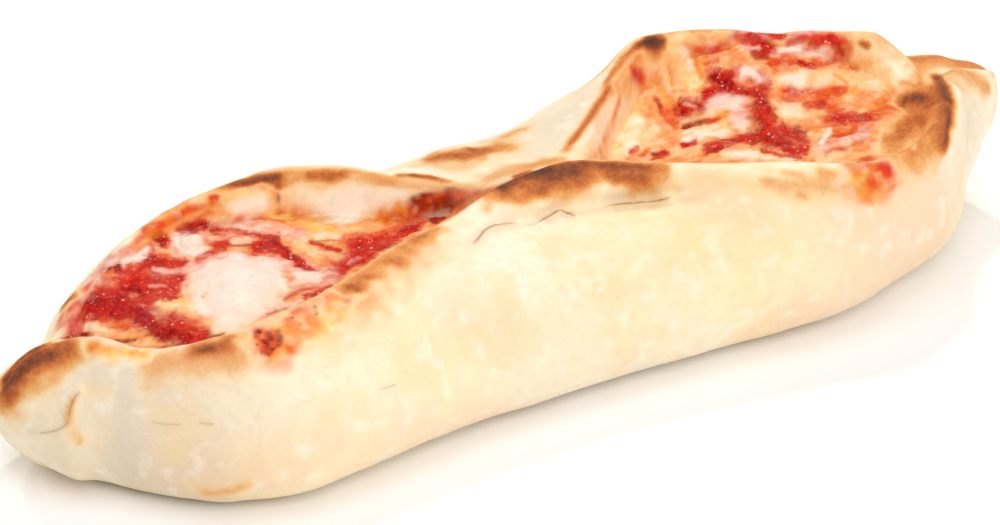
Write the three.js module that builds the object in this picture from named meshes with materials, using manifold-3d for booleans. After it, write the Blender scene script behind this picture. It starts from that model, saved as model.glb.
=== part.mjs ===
// Boat-shaped pizza: one folded loaf of dough, pinched shut at both tips and
// across the middle, with a pocket of tomato and melted cheese on each side of
// the pinch. Millimetres, +Z up, +X along the boat, origin under its middle.
import * as THREE from 'three';
import Module from 'manifold-3d';

// ---- driving dimensions ----------------------------------------------------
const LENGTH_LEFT = 140.5;        // pinch to the left tip
const LENGTH_RIGHT = 141.5;       // pinch to the right tip
const CAP_LEFT = 15.5;            // length over which each tip rounds off
const CAP_RIGHT = 17.5;
const LIP_WIDTH = 4.5;            // half width of the rolled rim
const FOOT_WIDTH = 9;             // how far the pocket's foot stands off its wall
const FOOT_DROP = 4.5;            // rounding where wall meets pocket floor
const GAP = 0.35;                 // clearance between filling and dough
const STATIONS = 54;              // loft stations between the caps
const CAP_STATIONS = 6;
const FILL_FLOOR = 8;             // the filling block starts below every pocket

// A smooth curve through named sizes: position along the boat, then the size.
function curve(xs, ys) {
  const n = xs.length;
  const d = [], m = new Array(n).fill(0);
  for (let i = 0; i < n - 1; i++) d.push((ys[i + 1] - ys[i]) / (xs[i + 1] - xs[i]));
  for (let i = 1; i < n - 1; i++) {
    if (d[i - 1] * d[i] > 0) m[i] = 2 * d[i - 1] * d[i] / (d[i - 1] + d[i]);
  }
  return (x) => {
    x = Math.min(Math.max(x, xs[0]), xs[n - 1]);
    let i = 0;
    while (i < n - 2 && x >= xs[i + 1]) i++;
    const h = xs[i + 1] - xs[i], t = (x - xs[i]) / h;
    return (2 * t ** 3 - 3 * t * t + 1) * ys[i] + (t ** 3 - 2 * t * t + t) * h * m[i]
      + (-2 * t ** 3 + 3 * t * t) * ys[i + 1] + (t ** 3 - t * t) * h * m[i + 1];
  };
}
function step(a, b, x) {
  const t = Math.min(Math.max((x - a) / (b - a), 0), 1);
  return t * t * (3 - 2 * t);
}

// The two rims, seen from above: they swing out round each pocket and meet in
// the pinch and at the tips.
const rimNearY = curve([-128, -117, -105, -92, -72, -58, -41, -26, -11, 8, 26, 42, 58, 68, 76, 86, 98, 107, 114, 119, 128],
  [-5, -11, -22, -26.5, -25, -21.5, -15.3, -11.5, -7, -6, -13.4, -19, -25, -31, -35.5, -36.5, -32, -25, -16, -9, -4]);
const rimNearZ = curve([-128, -117, -105, -92, -72, -58, -41, -26, -11, 8, 26, 42, 58, 76, 95, 107, 118, 128],
  [32.5, 35, 36.6, 37.8, 39, 40, 41, 41.8, 43.3, 44.5, 43.8, 42, 41, 40.3, 41.2, 41.2, 40, 38]);
const rimFarY = curve([-128, -106, -89, -70, -54, -38, -24, -14, -6, 5, 13, 22, 35, 55, 68, 94, 106, 113, 117, 122, 130],
  [1, 15.5, 25, 31, 31, 24.5, 14, 4.5, -0.8, -0.8, 1.5, 8, 20, 33, 33, 25, 19, 13.5, 7, 5, 4]);
const rimFarZ = curve([-128, -106, -70, -38, -26, -16, -3, 13, 35, 55, 76, 96, 107, 111.5, 114.5, 117.5, 122, 131],
  [31, 35.5, 40, 42.2, 40.4, 40.6, 41, 41.6, 44.6, 49.8, 46.4, 44.2, 44, 43.8, 41.5, 38.4, 38.6, 37.4]);
// Half widths of the loaf at its belly, and the line of its underside.
const bellyNear = curve([-140, -125, -115, -99, -83, -56, -26, 30, 57, 70, 81, 106, 120, 132, 141],
  [17.5, 21, 33.5, 47.5, 52, 48.5, 45, 45.5, 47, 45.5, 42.5, 32.5, 18, 10.5, 9]);
const bellyFar = curve([-140, -125, -115, -99, -80, -50, -20, 10, 40, 70, 95, 110, 120, 132, 141],
  [12, 14, 26, 37.5, 43, 43, 42.5, 43, 45, 45, 41, 33, 24, 16, 15]);
const underside = curve([-140, -132, -120, -108, 104, 116, 127, 136, 141], [4, 2, 0.4, 0, 0, 2, 10.5, 13, 19]);
const shoulderFar = curve([-27, -15, -3, 8, 28, 48], [0, 0.48, 0.76, 0.58, 0.45, 0]);
const pocketFloor = curve([-120, -60, 40, 75, 118], [20, 16, 17, 17, 21]);
// The near flap is folded over the pinch: its lip, and the crease under it.
const lip = curve([-21, -10, 5, 34, 47], [0, 0.85, 1, 0.9, 0]);
const creaseY = curve([-22, -14, -3, 4, 16, 30, 46], [-16, -11.5, -14.5, -13.5, -17, -20.5, -24]);
const creaseZ = curve([-22, -3, 16, 46], [36.5, 37.5, 37.3, 36.5]);
// The points the two tips close down to.
const tipY = curve([-140, -126, 126, 141], [-1, -2, 2, 3]);
const tipZ = curve([-140, -126, 126, 141], [18, 17, 26, 30]);

// 1 over an open pocket, 0 where the dough is closed.
function opened(x) {
  return step(-121, -111, x) * (1 - step(-22, -6, x)) + step(17, 34, x) * (1 - step(93, 114, x));
}

// One cross-section as spline control points [y, z], from the middle of the
// underside round the near side, over the rims and pocket, and back.
function section(x) {
  const yn = rimNearY(x), zn = rimNearZ(x) + 1, yf = rimFarY(x), zf = rimFarZ(x) + 1;
  const bn = bellyNear(x), bf = bellyFar(x), zb = underside(x), o = opened(x);
  const gap = Math.max(yf - yn, 2);
  const closed = Math.min(zn, zf) - 1.5;
  const floor = closed + (pocketFloor(x) - closed) * o;
  const m = 0.5 * (yn + yf);
  const edge = Math.min(LIP_WIDTH, 0.22 * gap), foot = Math.min(FOOT_WIDTH, 0.36 * gap);
  const up = (z, t) => zb + (z - zb) * t;
  const hy = -(-yn + (bn + yn) * 0.7) - 0.5, hz = up(zn, 0.74);
  const k = shoulderFar(x), sf = yf + (bf - yf) * (0.7 + 0.12 * k);
  const l = lip(x), cy = creaseY(x), cz = creaseZ(x);
  const fold = (f, g, y, z) => [(hy + (yn - hy) * f) * (1 - l) + y * l, (hz + (zn - hz) * g) * (1 - l) + z * l];
  const points = [
    [m * 0.3, zb], [-0.4 * bn, zb], [-(bn - 14), zb], [-(bn - 4.2), zb + 3.4],
    [-(bn + 1.2), up(zn, 0.38)], [hy, hz],
    fold(0.32, 0.52, cy - 7.5, cz - 0.6), fold(0.56, 0.76, cy + 1.2, cz - 0.6), fold(0.8, 0.93, cy - 0.6, cz + 4.6),
    [yn, zn + 0.2], [yn + edge, zn - 3 * o - 0.4 * (1 - o)], [yn + foot, floor + FOOT_DROP * o],
    [m, floor],
    [yf - foot, floor + FOOT_DROP * o], [yf - edge, zf - 3 * o - 0.4 * (1 - o)], [yf, zf + 0.2],
    [yf + (bf - yf) * (0.3 + 0.1 * k), up(zf, 0.95 + 0.05 * k)], [sf + 0.5, up(zf, 0.74 + 0.17 * k)],
    [bf + 1.2, up(zf, 0.38)], [bf - 4.2, zb + 3.4], [bf - 14, zb], [0.4 * bf, zb],
  ];
  let e = 1;
  const left = -(LENGTH_LEFT - CAP_LEFT), right = LENGTH_RIGHT - CAP_RIGHT;
  if (x < left) e = Math.sqrt(Math.max(0, 1 - ((left - x) / CAP_LEFT) ** 2));
  if (x > right) e = Math.sqrt(Math.max(0, 1 - ((x - right) / CAP_RIGHT) ** 2));
  const ty = tipY(x), tz = tipZ(x);
  return points.map(([y, z]) => [ty + (y - ty) * e, tz + (z - tz) * e]);
}

// Points on the closed cubic spline of a section; SPANS says how many on each span.
const SPANS = [1, 1, 2, 2, 2, 2, 2, 2, 3, 2, 2, 2, 2, 2, 2, 3, 2, 2, 2, 2, 2, 1];
function ring(x) {
  const p = section(x), n = p.length, out = [];
  for (let i = 0; i < n; i++) {
    const q = [p[(i + n - 1) % n], p[i], p[(i + 1) % n], p[(i + 2) % n]];
    for (let s = 0; s < SPANS[i]; s++) {
      const t = s / SPANS[i];
      const w = [(1 - t) ** 3, 3 * t ** 3 - 6 * t * t + 4, -3 * t ** 3 + 3 * t * t + 3 * t + 1, t ** 3];
      out.push([x, w.reduce((a, v, j) => a + v * q[j][0], 0) / 6, w.reduce((a, v, j) => a + v * q[j][1], 0) / 6]);
    }
  }
  return out;
}

function stations() {
  const left = -(LENGTH_LEFT - CAP_LEFT), right = LENGTH_RIGHT - CAP_RIGHT, xs = [];
  for (let i = 1; i < CAP_STATIONS; i++) xs.push(left - CAP_LEFT * Math.sin(Math.PI / 2 * (1 - i / CAP_STATIONS)));
  for (let i = 0; i < STATIONS; i++) xs.push(left + (right - left) * i / (STATIONS - 1));
  for (let i = CAP_STATIONS - 1; i > 0; i--) xs.push(right + CAP_RIGHT * Math.sin(Math.PI / 2 * (1 - i / CAP_STATIONS)));
  return xs;
}

function geometry(points, faces) {
  const g = new THREE.BufferGeometry();
  g.setAttribute('position', new THREE.Float32BufferAttribute(points.flat(), 3));
  g.setIndex(faces.flat());
  g.computeVertexNormals();
  return g;
}

// Closed loft of rings with a single point at each end.
function loft(rings, first, last) {
  const n = rings[0].length, points = [first, ...rings.flat(), last], faces = [];
  const at = (i, j) => 1 + i * n + (j + n) % n;
  for (let j = 0; j < n; j++) {
    faces.push([0, at(0, j), at(0, j + 1)]);
    faces.push([points.length - 1, at(rings.length - 1, j + 1), at(rings.length - 1, j)]);
    for (let i = 0; i < rings.length - 1; i++) {
      faces.push([at(i, j), at(i + 1, j), at(i + 1, j + 1)]);
      faces.push([at(i, j), at(i + 1, j + 1), at(i, j + 1)]);
    }
  }
  return [points, faces];
}

// ---- dough -----------------------------------------------------------------
const xs = stations();
const [crustPoints, crustFaces] = loft(xs.map(ring),
  [-LENGTH_LEFT, tipY(-LENGTH_LEFT), tipZ(-LENGTH_LEFT)], [LENGTH_RIGHT, tipY(LENGTH_RIGHT), tipZ(LENGTH_RIGHT)]);

// ---- filling ---------------------------------------------------------------
// Level of the filling, and how far it climbs the near and the far wall.
const levelLeft = curve([-121, -108, -90, -70, -50, -30, -8], [29.5, 33, 33.8, 33, 32, 32, 33.5]);
const climbLeft = curve([-121, -105, -85, -60, -8], [0, 1.6, 2.2, 1.2, 0.6]);
const levelRight = curve([17, 35, 55, 80, 105, 118], [33.5, 33.5, 34, 35, 35, 34]);
const climbRight = curve([17, 42, 60, 82, 98, 118], [0, 1.5, 7.5, 8, 5, 0.5]);
const NEAR_CLIMB = 0.8;

function fillLevel(x, y) {
  const yn = rimNearY(x), yf = rimFarY(x);
  const v = 2 * (y - yn) / Math.max(yf - yn, 2) - 1;
  const inLeft = x < 0;
  const base = inLeft ? levelLeft(x) : levelRight(x);
  const climb = inLeft ? climbLeft(x) : climbRight(x);
  const lumps = 0.45 * Math.sin(x * 0.31 + y * 0.11) * Math.cos(y * 0.27 - x * 0.07);
  return base + lumps + climb * step(0.05, 0.95, v) + NEAR_CLIMB * step(0.4, 1, -v);
}

// A block from below the pocket up to the level, as wide as the middles of the
// walls, ready to be cut by the dough.
function fillBlock(x0, x1, nx, ny) {
  const cells = (z) => {
    const rows = [];
    for (let i = 0; i <= nx; i++) {
      const x = x0 + (x1 - x0) * i / nx, a = rimNearY(x), b = rimFarY(x);
      for (let j = 0; j <= ny; j++) {
        const y = a + (b - a) * j / ny;
        rows.push([x, y, z(x, y)]);
      }
    }
    return rows;
  };
  const top = cells(fillLevel), bottom = cells(() => FILL_FLOOR);
  const N = top.length, at = (i, j) => i * (ny + 1) + j, faces = [];
  const quad = (a, b, c, d) => faces.push([a, b, c], [a, c, d]);
  for (let i = 0; i < nx; i++) {
    for (let j = 0; j < ny; j++) {
      quad(at(i, j), at(i + 1, j), at(i + 1, j + 1), at(i, j + 1));
      quad(N + at(i, j), N + at(i, j + 1), N + at(i + 1, j + 1), N + at(i + 1, j));
    }
    quad(N + at(i, 0), N + at(i + 1, 0), at(i + 1, 0), at(i, 0));
    quad(N + at(i + 1, ny), N + at(i, ny), at(i, ny), at(i + 1, ny));
  }
  for (let j = 0; j < ny; j++) {
    quad(N + at(0, j + 1), N + at(0, j), at(0, j), at(0, j + 1));
    quad(N + at(nx, j), N + at(nx, j + 1), at(nx, j + 1), at(nx, j));
  }
  return [[...top, ...bottom], faces];
}

const wasm = await Module();
wasm.setup();
const solid = ([points, faces]) => new wasm.Manifold(new wasm.Mesh({
  numProp: 3, vertProperties: new Float32Array(points.flat()), triVerts: new Uint32Array(faces.flat()),
}));
function unsolid(body) {
  const m = body.getMesh(), g = new THREE.BufferGeometry();
  g.setAttribute('position', new THREE.BufferAttribute(new Float32Array(m.vertProperties), 3));
  g.setIndex(new THREE.BufferAttribute(new Uint32Array(m.triVerts), 1));
  g.computeVertexNormals();
  return g;
}

// The dough grown by the gap, which trims the filling to the pockets.
const crustGeometry = geometry(crustPoints, crustFaces);
const normals = crustGeometry.getAttribute('normal');
const grown = solid([crustPoints.map((p, i) => [p[0] + GAP * normals.getX(i), p[1] + GAP * normals.getY(i), p[2] + GAP * normals.getZ(i)]), crustFaces]);
const fillLeft = unsolid(solid(fillBlock(-120, -7, 34, 12)).subtract(grown));
const fillRight = unsolid(solid(fillBlock(18, 117, 30, 12)).subtract(grown));

// ---- toppings --------------------------------------------------------------
// A soft lump lying on the filling: middle, half length, half width, turn in
// degrees, height, and how uneven its outline is.
function lump(cx, cy, a, b, turn, height, uneven, seed) {
  const around = 18, out = 4, c = Math.cos(turn * Math.PI / 180), s = Math.sin(turn * Math.PI / 180);
  const points = [], faces = [];
  const put = (r, t, lift) => {
    const w = 1 + uneven * (0.5 * Math.sin(2 * t + seed) + 0.35 * Math.sin(3 * t + 2.1 * seed) + 0.25 * Math.sin(5 * t + 0.7 * seed));
    const u = a * r * w * Math.cos(t), v = b * r * w * Math.sin(t);
    const x = cx + u * c - v * s, y = cy + u * s + v * c;
    points.push([x, y, fillLevel(x, y) + GAP + 0.1 + lift]);
  };
  const crown = (r) => 0.5 + height * Math.sqrt(Math.max(0, 1 - r * r));
  put(0, 0, crown(0));
  for (let i = 1; i <= out; i++) for (let j = 0; j < around; j++) put(i / out, j / around * 2 * Math.PI, crown(i / out));
  for (let i = out; i >= 1; i--) for (let j = 0; j < around; j++) put(i / out, j / around * 2 * Math.PI, 0);
  put(0, 0, 0);
  const at = (i, j) => 1 + i * around + (j + around) % around, rings = 2 * out;
  for (let j = 0; j < around; j++) {
    faces.push([0, at(0, j), at(0, j + 1)]);
    faces.push([points.length - 1, at(rings - 1, j + 1), at(rings - 1, j)]);
    for (let i = 0; i < rings - 1; i++) {
      faces.push([at(i, j), at(i + 1, j), at(i + 1, j + 1)]);
      faces.push([at(i, j), at(i + 1, j + 1), at(i, j + 1)]);
    }
  }
  return geometry(points, faces);
}

// ---- the model -------------------------------------------------------------
crustGeometry.computeBoundingBox();
const box = crustGeometry.boundingBox, middle = [(box.min.x + box.max.x) / 2, (box.min.y + box.max.y) / 2, box.min.z];
const model = new THREE.Group();
function add(name, g, color, roughness) {
  g.translate(-middle[0], -middle[1], -middle[2]);
  const mesh = new THREE.Mesh(g, new THREE.MeshStandardMaterial({ color, roughness, metalness: 0 }));
  mesh.name = name;
  model.add(mesh);
}
const DOUGH = 0xf8e4c4, SAUCE = 0xc8442a, CHEESE = 0xf3e2d2, TOMATO = 0xb8281c;
add('crust', crustGeometry, DOUGH, 0.8);
add('filling_left', fillLeft, SAUCE, 0.4);
add('filling_right', fillRight, SAUCE, 0.4);
add('mozzarella_left', lump(-77.5, -2.5, 16.5, 12.5, 62, 3.2, 0.12, 1.3), CHEESE, 0.45);
add('mozzarella_left_small', lump(-77.5, 20.5, 5.4, 4.4, 50, 1.8, 0.15, 2.2), CHEESE, 0.45);
add('tomato_left', lump(-99.5, -11.5, 6.6, 6.8, -30, 3.4, 0.1, 0.4), TOMATO, 0.3);
add('mozzarella_right', lump(61, 14, 7.4, 5.6, -28, 2.6, 0.14, 3.1), CHEESE, 0.45);
add('tomato_right', lump(72, 1.5, 5, 11, -28, 2.8, 0.1, 1.9), TOMATO, 0.3);
add('tomato_right_small', lump(71.5, 20.5, 4, 4.3, 10, 2.2, 0.1, 5.2), TOMATO, 0.3);

export default model;
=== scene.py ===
import bpy
import math
import numpy as np
from mathutils import Matrix, Vector
from mathutils.bvhtree import BVHTree


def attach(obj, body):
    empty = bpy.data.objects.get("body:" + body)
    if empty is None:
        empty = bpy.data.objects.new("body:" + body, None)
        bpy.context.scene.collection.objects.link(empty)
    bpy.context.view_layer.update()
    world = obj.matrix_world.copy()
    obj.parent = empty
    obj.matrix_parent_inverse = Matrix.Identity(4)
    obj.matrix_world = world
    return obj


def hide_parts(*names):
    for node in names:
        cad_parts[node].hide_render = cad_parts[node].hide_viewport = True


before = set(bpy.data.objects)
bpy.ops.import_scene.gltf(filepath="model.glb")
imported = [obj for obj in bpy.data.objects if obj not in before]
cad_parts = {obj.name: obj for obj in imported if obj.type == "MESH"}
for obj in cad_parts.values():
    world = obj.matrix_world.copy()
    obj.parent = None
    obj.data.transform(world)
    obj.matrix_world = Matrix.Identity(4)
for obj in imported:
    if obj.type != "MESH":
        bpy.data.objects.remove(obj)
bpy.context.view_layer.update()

MM = 0.001

# ---------------------------------------------------------------------------
# The loaf's form, in millimetres: the same named sizes as the CAD part.
# ---------------------------------------------------------------------------


def curve(xs, ys):
    xs = np.asarray(xs, float); ys = np.asarray(ys, float)
    d = np.diff(ys) / np.diff(xs); m = np.zeros_like(ys)
    up = d[:-1] * d[1:] > 0
    m[1:-1][up] = 2 * d[:-1][up] * d[1:][up] / (d[:-1] + d[1:])[up]

    def f(x):
        x = np.clip(np.asarray(x, float), xs[0], xs[-1])
        i = np.clip(np.searchsorted(xs, x, side="right") - 1, 0, len(xs) - 2)
        h = xs[i + 1] - xs[i]; t = (x - xs[i]) / h
        return ((2 * t**3 - 3 * t**2 + 1) * ys[i] + (t**3 - 2 * t**2 + t) * h * m[i]
                + (-2 * t**3 + 3 * t**2) * ys[i + 1] + (t**3 - t**2) * h * m[i + 1])
    return f


def step(a, b, x):
    t = np.clip((np.asarray(x, float) - a) / (b - a), 0, 1)
    return t * t * (3 - 2 * t)


LEFT_TIP, RIGHT_TIP = -140.5, 141.5
LEFT_CAP, RIGHT_CAP = -125.0, 124.0
rim_near_y = curve([-128, -117, -105, -92, -72, -58, -41, -26, -11, 8, 26, 42, 58, 68, 76, 86, 98, 107, 114, 119, 128],
                   [-5, -11, -22, -26.5, -25, -21.5, -15.3, -11.5, -7, -6, -13.4, -19, -25, -31, -35.5, -36.5, -32, -25, -16, -9, -4])
rim_near_z = curve([-128, -117, -105, -92, -72, -58, -41, -26, -11, 8, 26, 42, 58, 76, 95, 107, 118, 128],
                   [32.5, 35, 36.6, 37.8, 39, 40, 41, 41.8, 43.3, 44.5, 43.8, 42, 41, 40.3, 41.2, 41.2, 40, 38])
rim_far_y = curve([-128, -106, -89, -70, -54, -38, -24, -14, -6, 5, 13, 22, 35, 55, 68, 94, 106, 113, 117, 122, 130],
                  [1, 15.5, 25, 31, 31, 24.5, 14, 4.5, -0.8, -0.8, 1.5, 8, 20, 33, 33, 25, 19, 13.5, 7, 5, 4])
rim_far_z = curve([-128, -106, -70, -38, -26, -16, -3, 13, 35, 55, 76, 96, 107, 111.5, 114.5, 117.5, 122, 131],
                  [31, 35.5, 40, 42.2, 40.4, 40.6, 41, 41.6, 44.6, 49.8, 46.4, 44.2, 44, 43.8, 41.5, 38.4, 38.6, 37.4])
belly_near = curve([-140, -125, -115, -99, -83, -56, -26, 30, 57, 70, 81, 106, 120, 132, 141],
                   [17.5, 21, 33.5, 47.5, 52, 48.5, 45, 45.5, 47, 45.5, 42.5, 32.5, 18, 10.5, 9])
belly_far = curve([-140, -125, -115, -99, -80, -50, -20, 10, 40, 70, 95, 110, 120, 132, 141],
                  [12, 14, 26, 37.5, 43, 43, 42.5, 43, 45, 45, 41, 33, 24, 16, 15])
underside = curve([-140, -132, -120, -108, 104, 116, 127, 136, 141], [4, 2, 0.4, 0, 0, 2, 10.5, 13, 19])
shoulder_far = curve([-27, -15, -3, 8, 28, 48], [0, 0.48, 0.76, 0.58, 0.45, 0])
pocket_floor = curve([-120, -60, 40, 75, 118], [20, 16, 17, 17, 21])
lip = curve([-21, -10, 5, 34, 47], [0, 0.85, 1, 0.9, 0])
crease_y = curve([-22, -14, -3, 4, 16, 30, 46], [-16, -11.5, -14.5, -13.5, -17, -20.5, -24])
crease_z = curve([-22, -3, 16, 46], [36.5, 37.5, 37.3, 36.5])
tip_y = curve([-140, -126, 126, 141], [-1, -2, 2, 3])
tip_z = curve([-140, -126, 126, 141], [18, 17, 26, 30])


def opened(x):
    return step(-121, -111, x) * (1 - step(-22, -6, x)) + step(17, 34, x) * (1 - step(93, 114, x))


def section(x):
    x = np.asarray(x, float)
    yn, zn, yf, zf = rim_near_y(x), rim_near_z(x) + 1.0, rim_far_y(x), rim_far_z(x) + 1.0
    bn, bf, zb, o = belly_near(x), belly_far(x), underside(x), opened(x)
    gap = np.maximum(yf - yn, 2.0)
    closed = np.minimum(zn, zf) - 1.5
    floor = closed + (pocket_floor(x) - closed) * o
    m = 0.5 * (yn + yf)
    edge = np.minimum(4.5, 0.22 * gap)
    foot = np.minimum(9, 0.36 * gap)
    H = lambda z, t: zb + (z - zb) * t
    hy, hz = -(-yn + (bn + yn) * 0.70) - 0.5, H(zn, 0.74)
    k = shoulder_far(x); sf = yf + (bf - yf) * (0.70 + 0.12 * k)
    l = lip(x); cy, cz = crease_y(x), crease_z(x)
    fold = lambda f, g, y, z: ((hy + (yn - hy) * f) * (1 - l) + y * l, (hz + (zn - hz) * g) * (1 - l) + z * l)
    pts = [(m * 0.3, zb), (-0.40 * bn, zb), (-(bn - 14), zb), (-(bn - 4.2), zb + 3.4), (-(bn + 1.2), H(zn, 0.38)), (hy, hz),
           fold(0.32, 0.52, cy - 7.5, cz - 0.6), fold(0.56, 0.76, cy + 1.2, cz - 0.6), fold(0.80, 0.93, cy - 0.6, cz + 4.6),
           (yn, zn + 0.2), (yn + edge, zn - 3.0 * o - 0.4 * (1 - o)), (yn + foot, floor + 4.5 * o),
           (m, floor),
           (yf - foot, floor + 4.5 * o), (yf - edge, zf - 3.0 * o - 0.4 * (1 - o)), (yf, zf + 0.2),
           (yf + (bf - yf) * (0.30 + 0.1 * k), H(zf, 0.95 + 0.05 * k)), (sf + 0.5, H(zf, 0.74 + 0.17 * k)),
           (bf + 1.2, H(zf, 0.38)), (bf - 4.2, zb + 3.4), (bf - 14, zb), (0.40 * bf, zb)]
    P = np.stack([np.stack([np.broadcast_to(a, x.shape), np.broadcast_to(b, x.shape)], -1) for a, b in pts], 1)
    e = np.ones_like(x)
    a = x < LEFT_CAP; e[a] = np.sqrt(np.clip(1 - ((LEFT_CAP - x[a]) / (LEFT_CAP - LEFT_TIP)) ** 2, 0, 1))
    a = x > RIGHT_CAP; e[a] = np.sqrt(np.clip(1 - ((x[a] - RIGHT_CAP) / (RIGHT_TIP - RIGHT_CAP)) ** 2, 0, 1))
    c = np.stack([tip_y(x), tip_z(x)], -1)[:, None, :]
    return c + (P - c) * e[:, None, None]


def spline(P, counts):
    n = P.shape[1]; out = []
    for i in range(n):
        a, b, c, d = P[:, (i - 1) % n], P[:, i], P[:, (i + 1) % n], P[:, (i + 2) % n]
        for t in np.arange(counts[i]) / counts[i]:
            out.append(((1 - t)**3 * a + (3 * t**3 - 6 * t**2 + 4) * b + (-3 * t**3 + 3 * t**2 + 3 * t + 1) * c + t**3 * d) / 6)
    return np.stack(out, 1)


def loft(n_mid, n_cap, counts, close=0.0):
    a = np.linspace(np.pi / 2, 0, n_cap, endpoint=False)[1:]
    u = np.linspace(0, 1, n_mid)
    u = u + close * np.sin(2 * np.pi * u) / (2 * np.pi) * -1
    x = np.concatenate([LEFT_CAP - (LEFT_CAP - LEFT_TIP) * np.sin(a), LEFT_CAP + (RIGHT_CAP - LEFT_CAP) * u,
                        RIGHT_CAP + (RIGHT_TIP - RIGHT_CAP) * np.sin(a[::-1])])
    S = spline(section(x), counts)
    return np.concatenate([np.broadcast_to(x[:, None, None], S.shape[:2] + (1,)), S], -1)


level_left = curve([-121, -108, -90, -70, -50, -30, -8], [29.5, 33, 33.8, 33, 32, 32, 33.5])
climb_left = curve([-121, -105, -85, -60, -8], [0, 1.6, 2.2, 1.2, 0.6])
level_right = curve([17, 35, 55, 80, 105, 118], [33.5, 33.5, 34, 35, 35, 34])
climb_right = curve([17, 42, 60, 82, 98, 118], [0, 1.5, 7.5, 8, 5, 0.5])


def fill_level(x, y):
    yn, yf = rim_near_y(x), rim_far_y(x)
    v = 2 * (y - yn) / np.maximum(yf - yn, 2) - 1
    base = np.where(x < 0, level_left(x), level_right(x))
    climb = np.where(x < 0, climb_left(x), climb_right(x))
    lumps = 0.45 * np.sin(x * 0.31 + y * 0.11) * np.cos(y * 0.27 - x * 0.07)
    return base + lumps + climb * step(0.05, 0.95, v) + 0.8 * step(0.4, 1, -v)


# The CAD part stands with its box's middle over the origin.
cad = loft(54, 6, [1, 1, 2, 2, 2, 2, 2, 2, 3, 2, 2, 2, 2, 2, 2, 3, 2, 2, 2, 2, 2, 1])
MIDDLE = np.array([0.5 * (LEFT_TIP + RIGHT_TIP), 0.5 * (cad[..., 1].min() + cad[..., 1].max()), cad[..., 2].min()])

# ---------------------------------------------------------------------------
# The photograph's view: 30 degrees round from the side, 30 degrees up.
# ---------------------------------------------------------------------------
AZ, EL = math.radians(-30), math.radians(30)
TARGET = np.array([-5.2, 0.0, 19.0])
DISTANCE, FOCAL, CX, CY = 1329.0, 5497.0, 500.0, 262.5
BACK = np.array([math.sin(AZ) * math.cos(EL), -math.cos(AZ) * math.cos(EL), math.sin(EL)])
RIGHT = np.array([math.cos(AZ), math.sin(AZ), 0.0])
UP = np.cross(BACK, RIGHT)
EYE = TARGET + BACK * DISTANCE


def project(P):
    Q = P - EYE
    z = -(Q @ BACK)
    return np.stack([CX + FOCAL * (Q @ RIGHT) / z, CY - FOCAL * (Q @ UP) / z], -1)


def ray(p):
    d = -BACK + (p[0] - CX) / FOCAL * RIGHT - (p[1] - CY) / FOCAL * UP
    return d / np.linalg.norm(d)


# ---------------------------------------------------------------------------
# Noise
# ---------------------------------------------------------------------------
def _hash(i, j, k, seed):
    n = (i * 73856093) ^ (j * 19349663) ^ (k * 83492791) ^ (seed * 2654435761)
    n &= 0xFFFFFFFF
    n = ((n ^ (n >> 15)) * 2246822519) & 0xFFFFFFFF
    n = ((n ^ (n >> 13)) * 3266489917) & 0xFFFFFFFF
    return n ^ (n >> 16)


def vnoise(P, seed):
    """Smooth value noise, 0 to 1, one cell per unit."""
    i = np.floor(P).astype(np.int64); f = P - i
    u = f * f * f * (f * (f * 6 - 15) + 10)
    out = 0
    for dx in (0, 1):
        wx = u[:, 0] if dx else 1 - u[:, 0]
        for dy in (0, 1):
            wy = u[:, 1] if dy else 1 - u[:, 1]
            for dz in (0, 1):
                wz = u[:, 2] if dz else 1 - u[:, 2]
                h = (_hash(i[:, 0] + dx, i[:, 1] + dy, i[:, 2] + dz, seed) & 0xFFFF) / 65535.0
                out = out + wx * wy * wz * h
    return out


TURN = np.array([[0.36, 0.48, -0.8], [-0.8, 0.6, 0.0], [0.48, 0.64, 0.6]])


def fbm(P, size, octaves=3, seed=1, rough=0.5):
    """Layered noise, about -1 to 1; size in mm."""
    Q = P / size; a, s, out = 1.0, 0.0, 0.0
    for o in range(octaves):
        out = out + a * (2 * vnoise(Q + 17.3 * o, seed + o) - 1)
        s += a; a *= rough
        Q = (Q @ TURN.T) * 2.03
    return out / s * 1.5


def cells(P, size, seed=5):
    """Distance to the nearest and second nearest cell point (in cells), and that cell's own number."""
    Q = P / size; i = np.floor(Q).astype(np.int64)
    d1 = np.full(len(P), 9.0); d2 = np.full(len(P), 9.0); c = np.zeros(len(P))
    for dx in (-1, 0, 1):
        for dy in (-1, 0, 1):
            for dz in (-1, 0, 1):
                a, b, e = i[:, 0] + dx, i[:, 1] + dy, i[:, 2] + dz
                h1, h2, h3 = _hash(a, b, e, seed), _hash(a, b, e, seed + 1), _hash(a, b, e, seed + 2)
                p = np.stack([a + (h1 & 0xFFFF) / 65536.0, b + (h2 & 0xFFFF) / 65536.0, e + (h3 & 0xFFFF) / 65536.0], -1)
                d = np.sqrt(((Q - p) ** 2).sum(-1))
                near = d < d1
                d2 = np.where(near, d1, np.minimum(d2, d)); c = np.where(near, (h1 >> 16) / 65536.0, c); d1 = np.where(near, d, d1)
    return d1, d2, c


# ---------------------------------------------------------------------------
# Brush work: soft strokes along short lines, laid over one another.
# ---------------------------------------------------------------------------
def lin(rgb):
    c = np.asarray(rgb, float) / 255.0
    return np.where(c <= 0.04045, c / 12.92, ((c + 0.055) / 1.055) ** 2.4)


def rich(rgb):
    """Wet food under bright light: a little deeper than its plain colour."""
    return lin(rgb) ** 1.2


# Dough colours ("shade" is painted shade: a greyer dough for shaded spots), and toasting as a level of its own: (level,
# floury).
DOUGH = {"dough": (250, 234, 204), "warm": (252, 224, 174), "white": (252, 240, 222), "flour": (234, 220, 200), "shade": (230, 210, 182), "blush": (244, 206, 168)}
TOAST = {"tan": (0.30, 0.0), "golden": (0.50, 0.0), "brown": (0.72, 0.0), "dark": (0.90, 0.0), "black": (1.0, 0.0), "mauve": (0.44, 0.8)}
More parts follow.
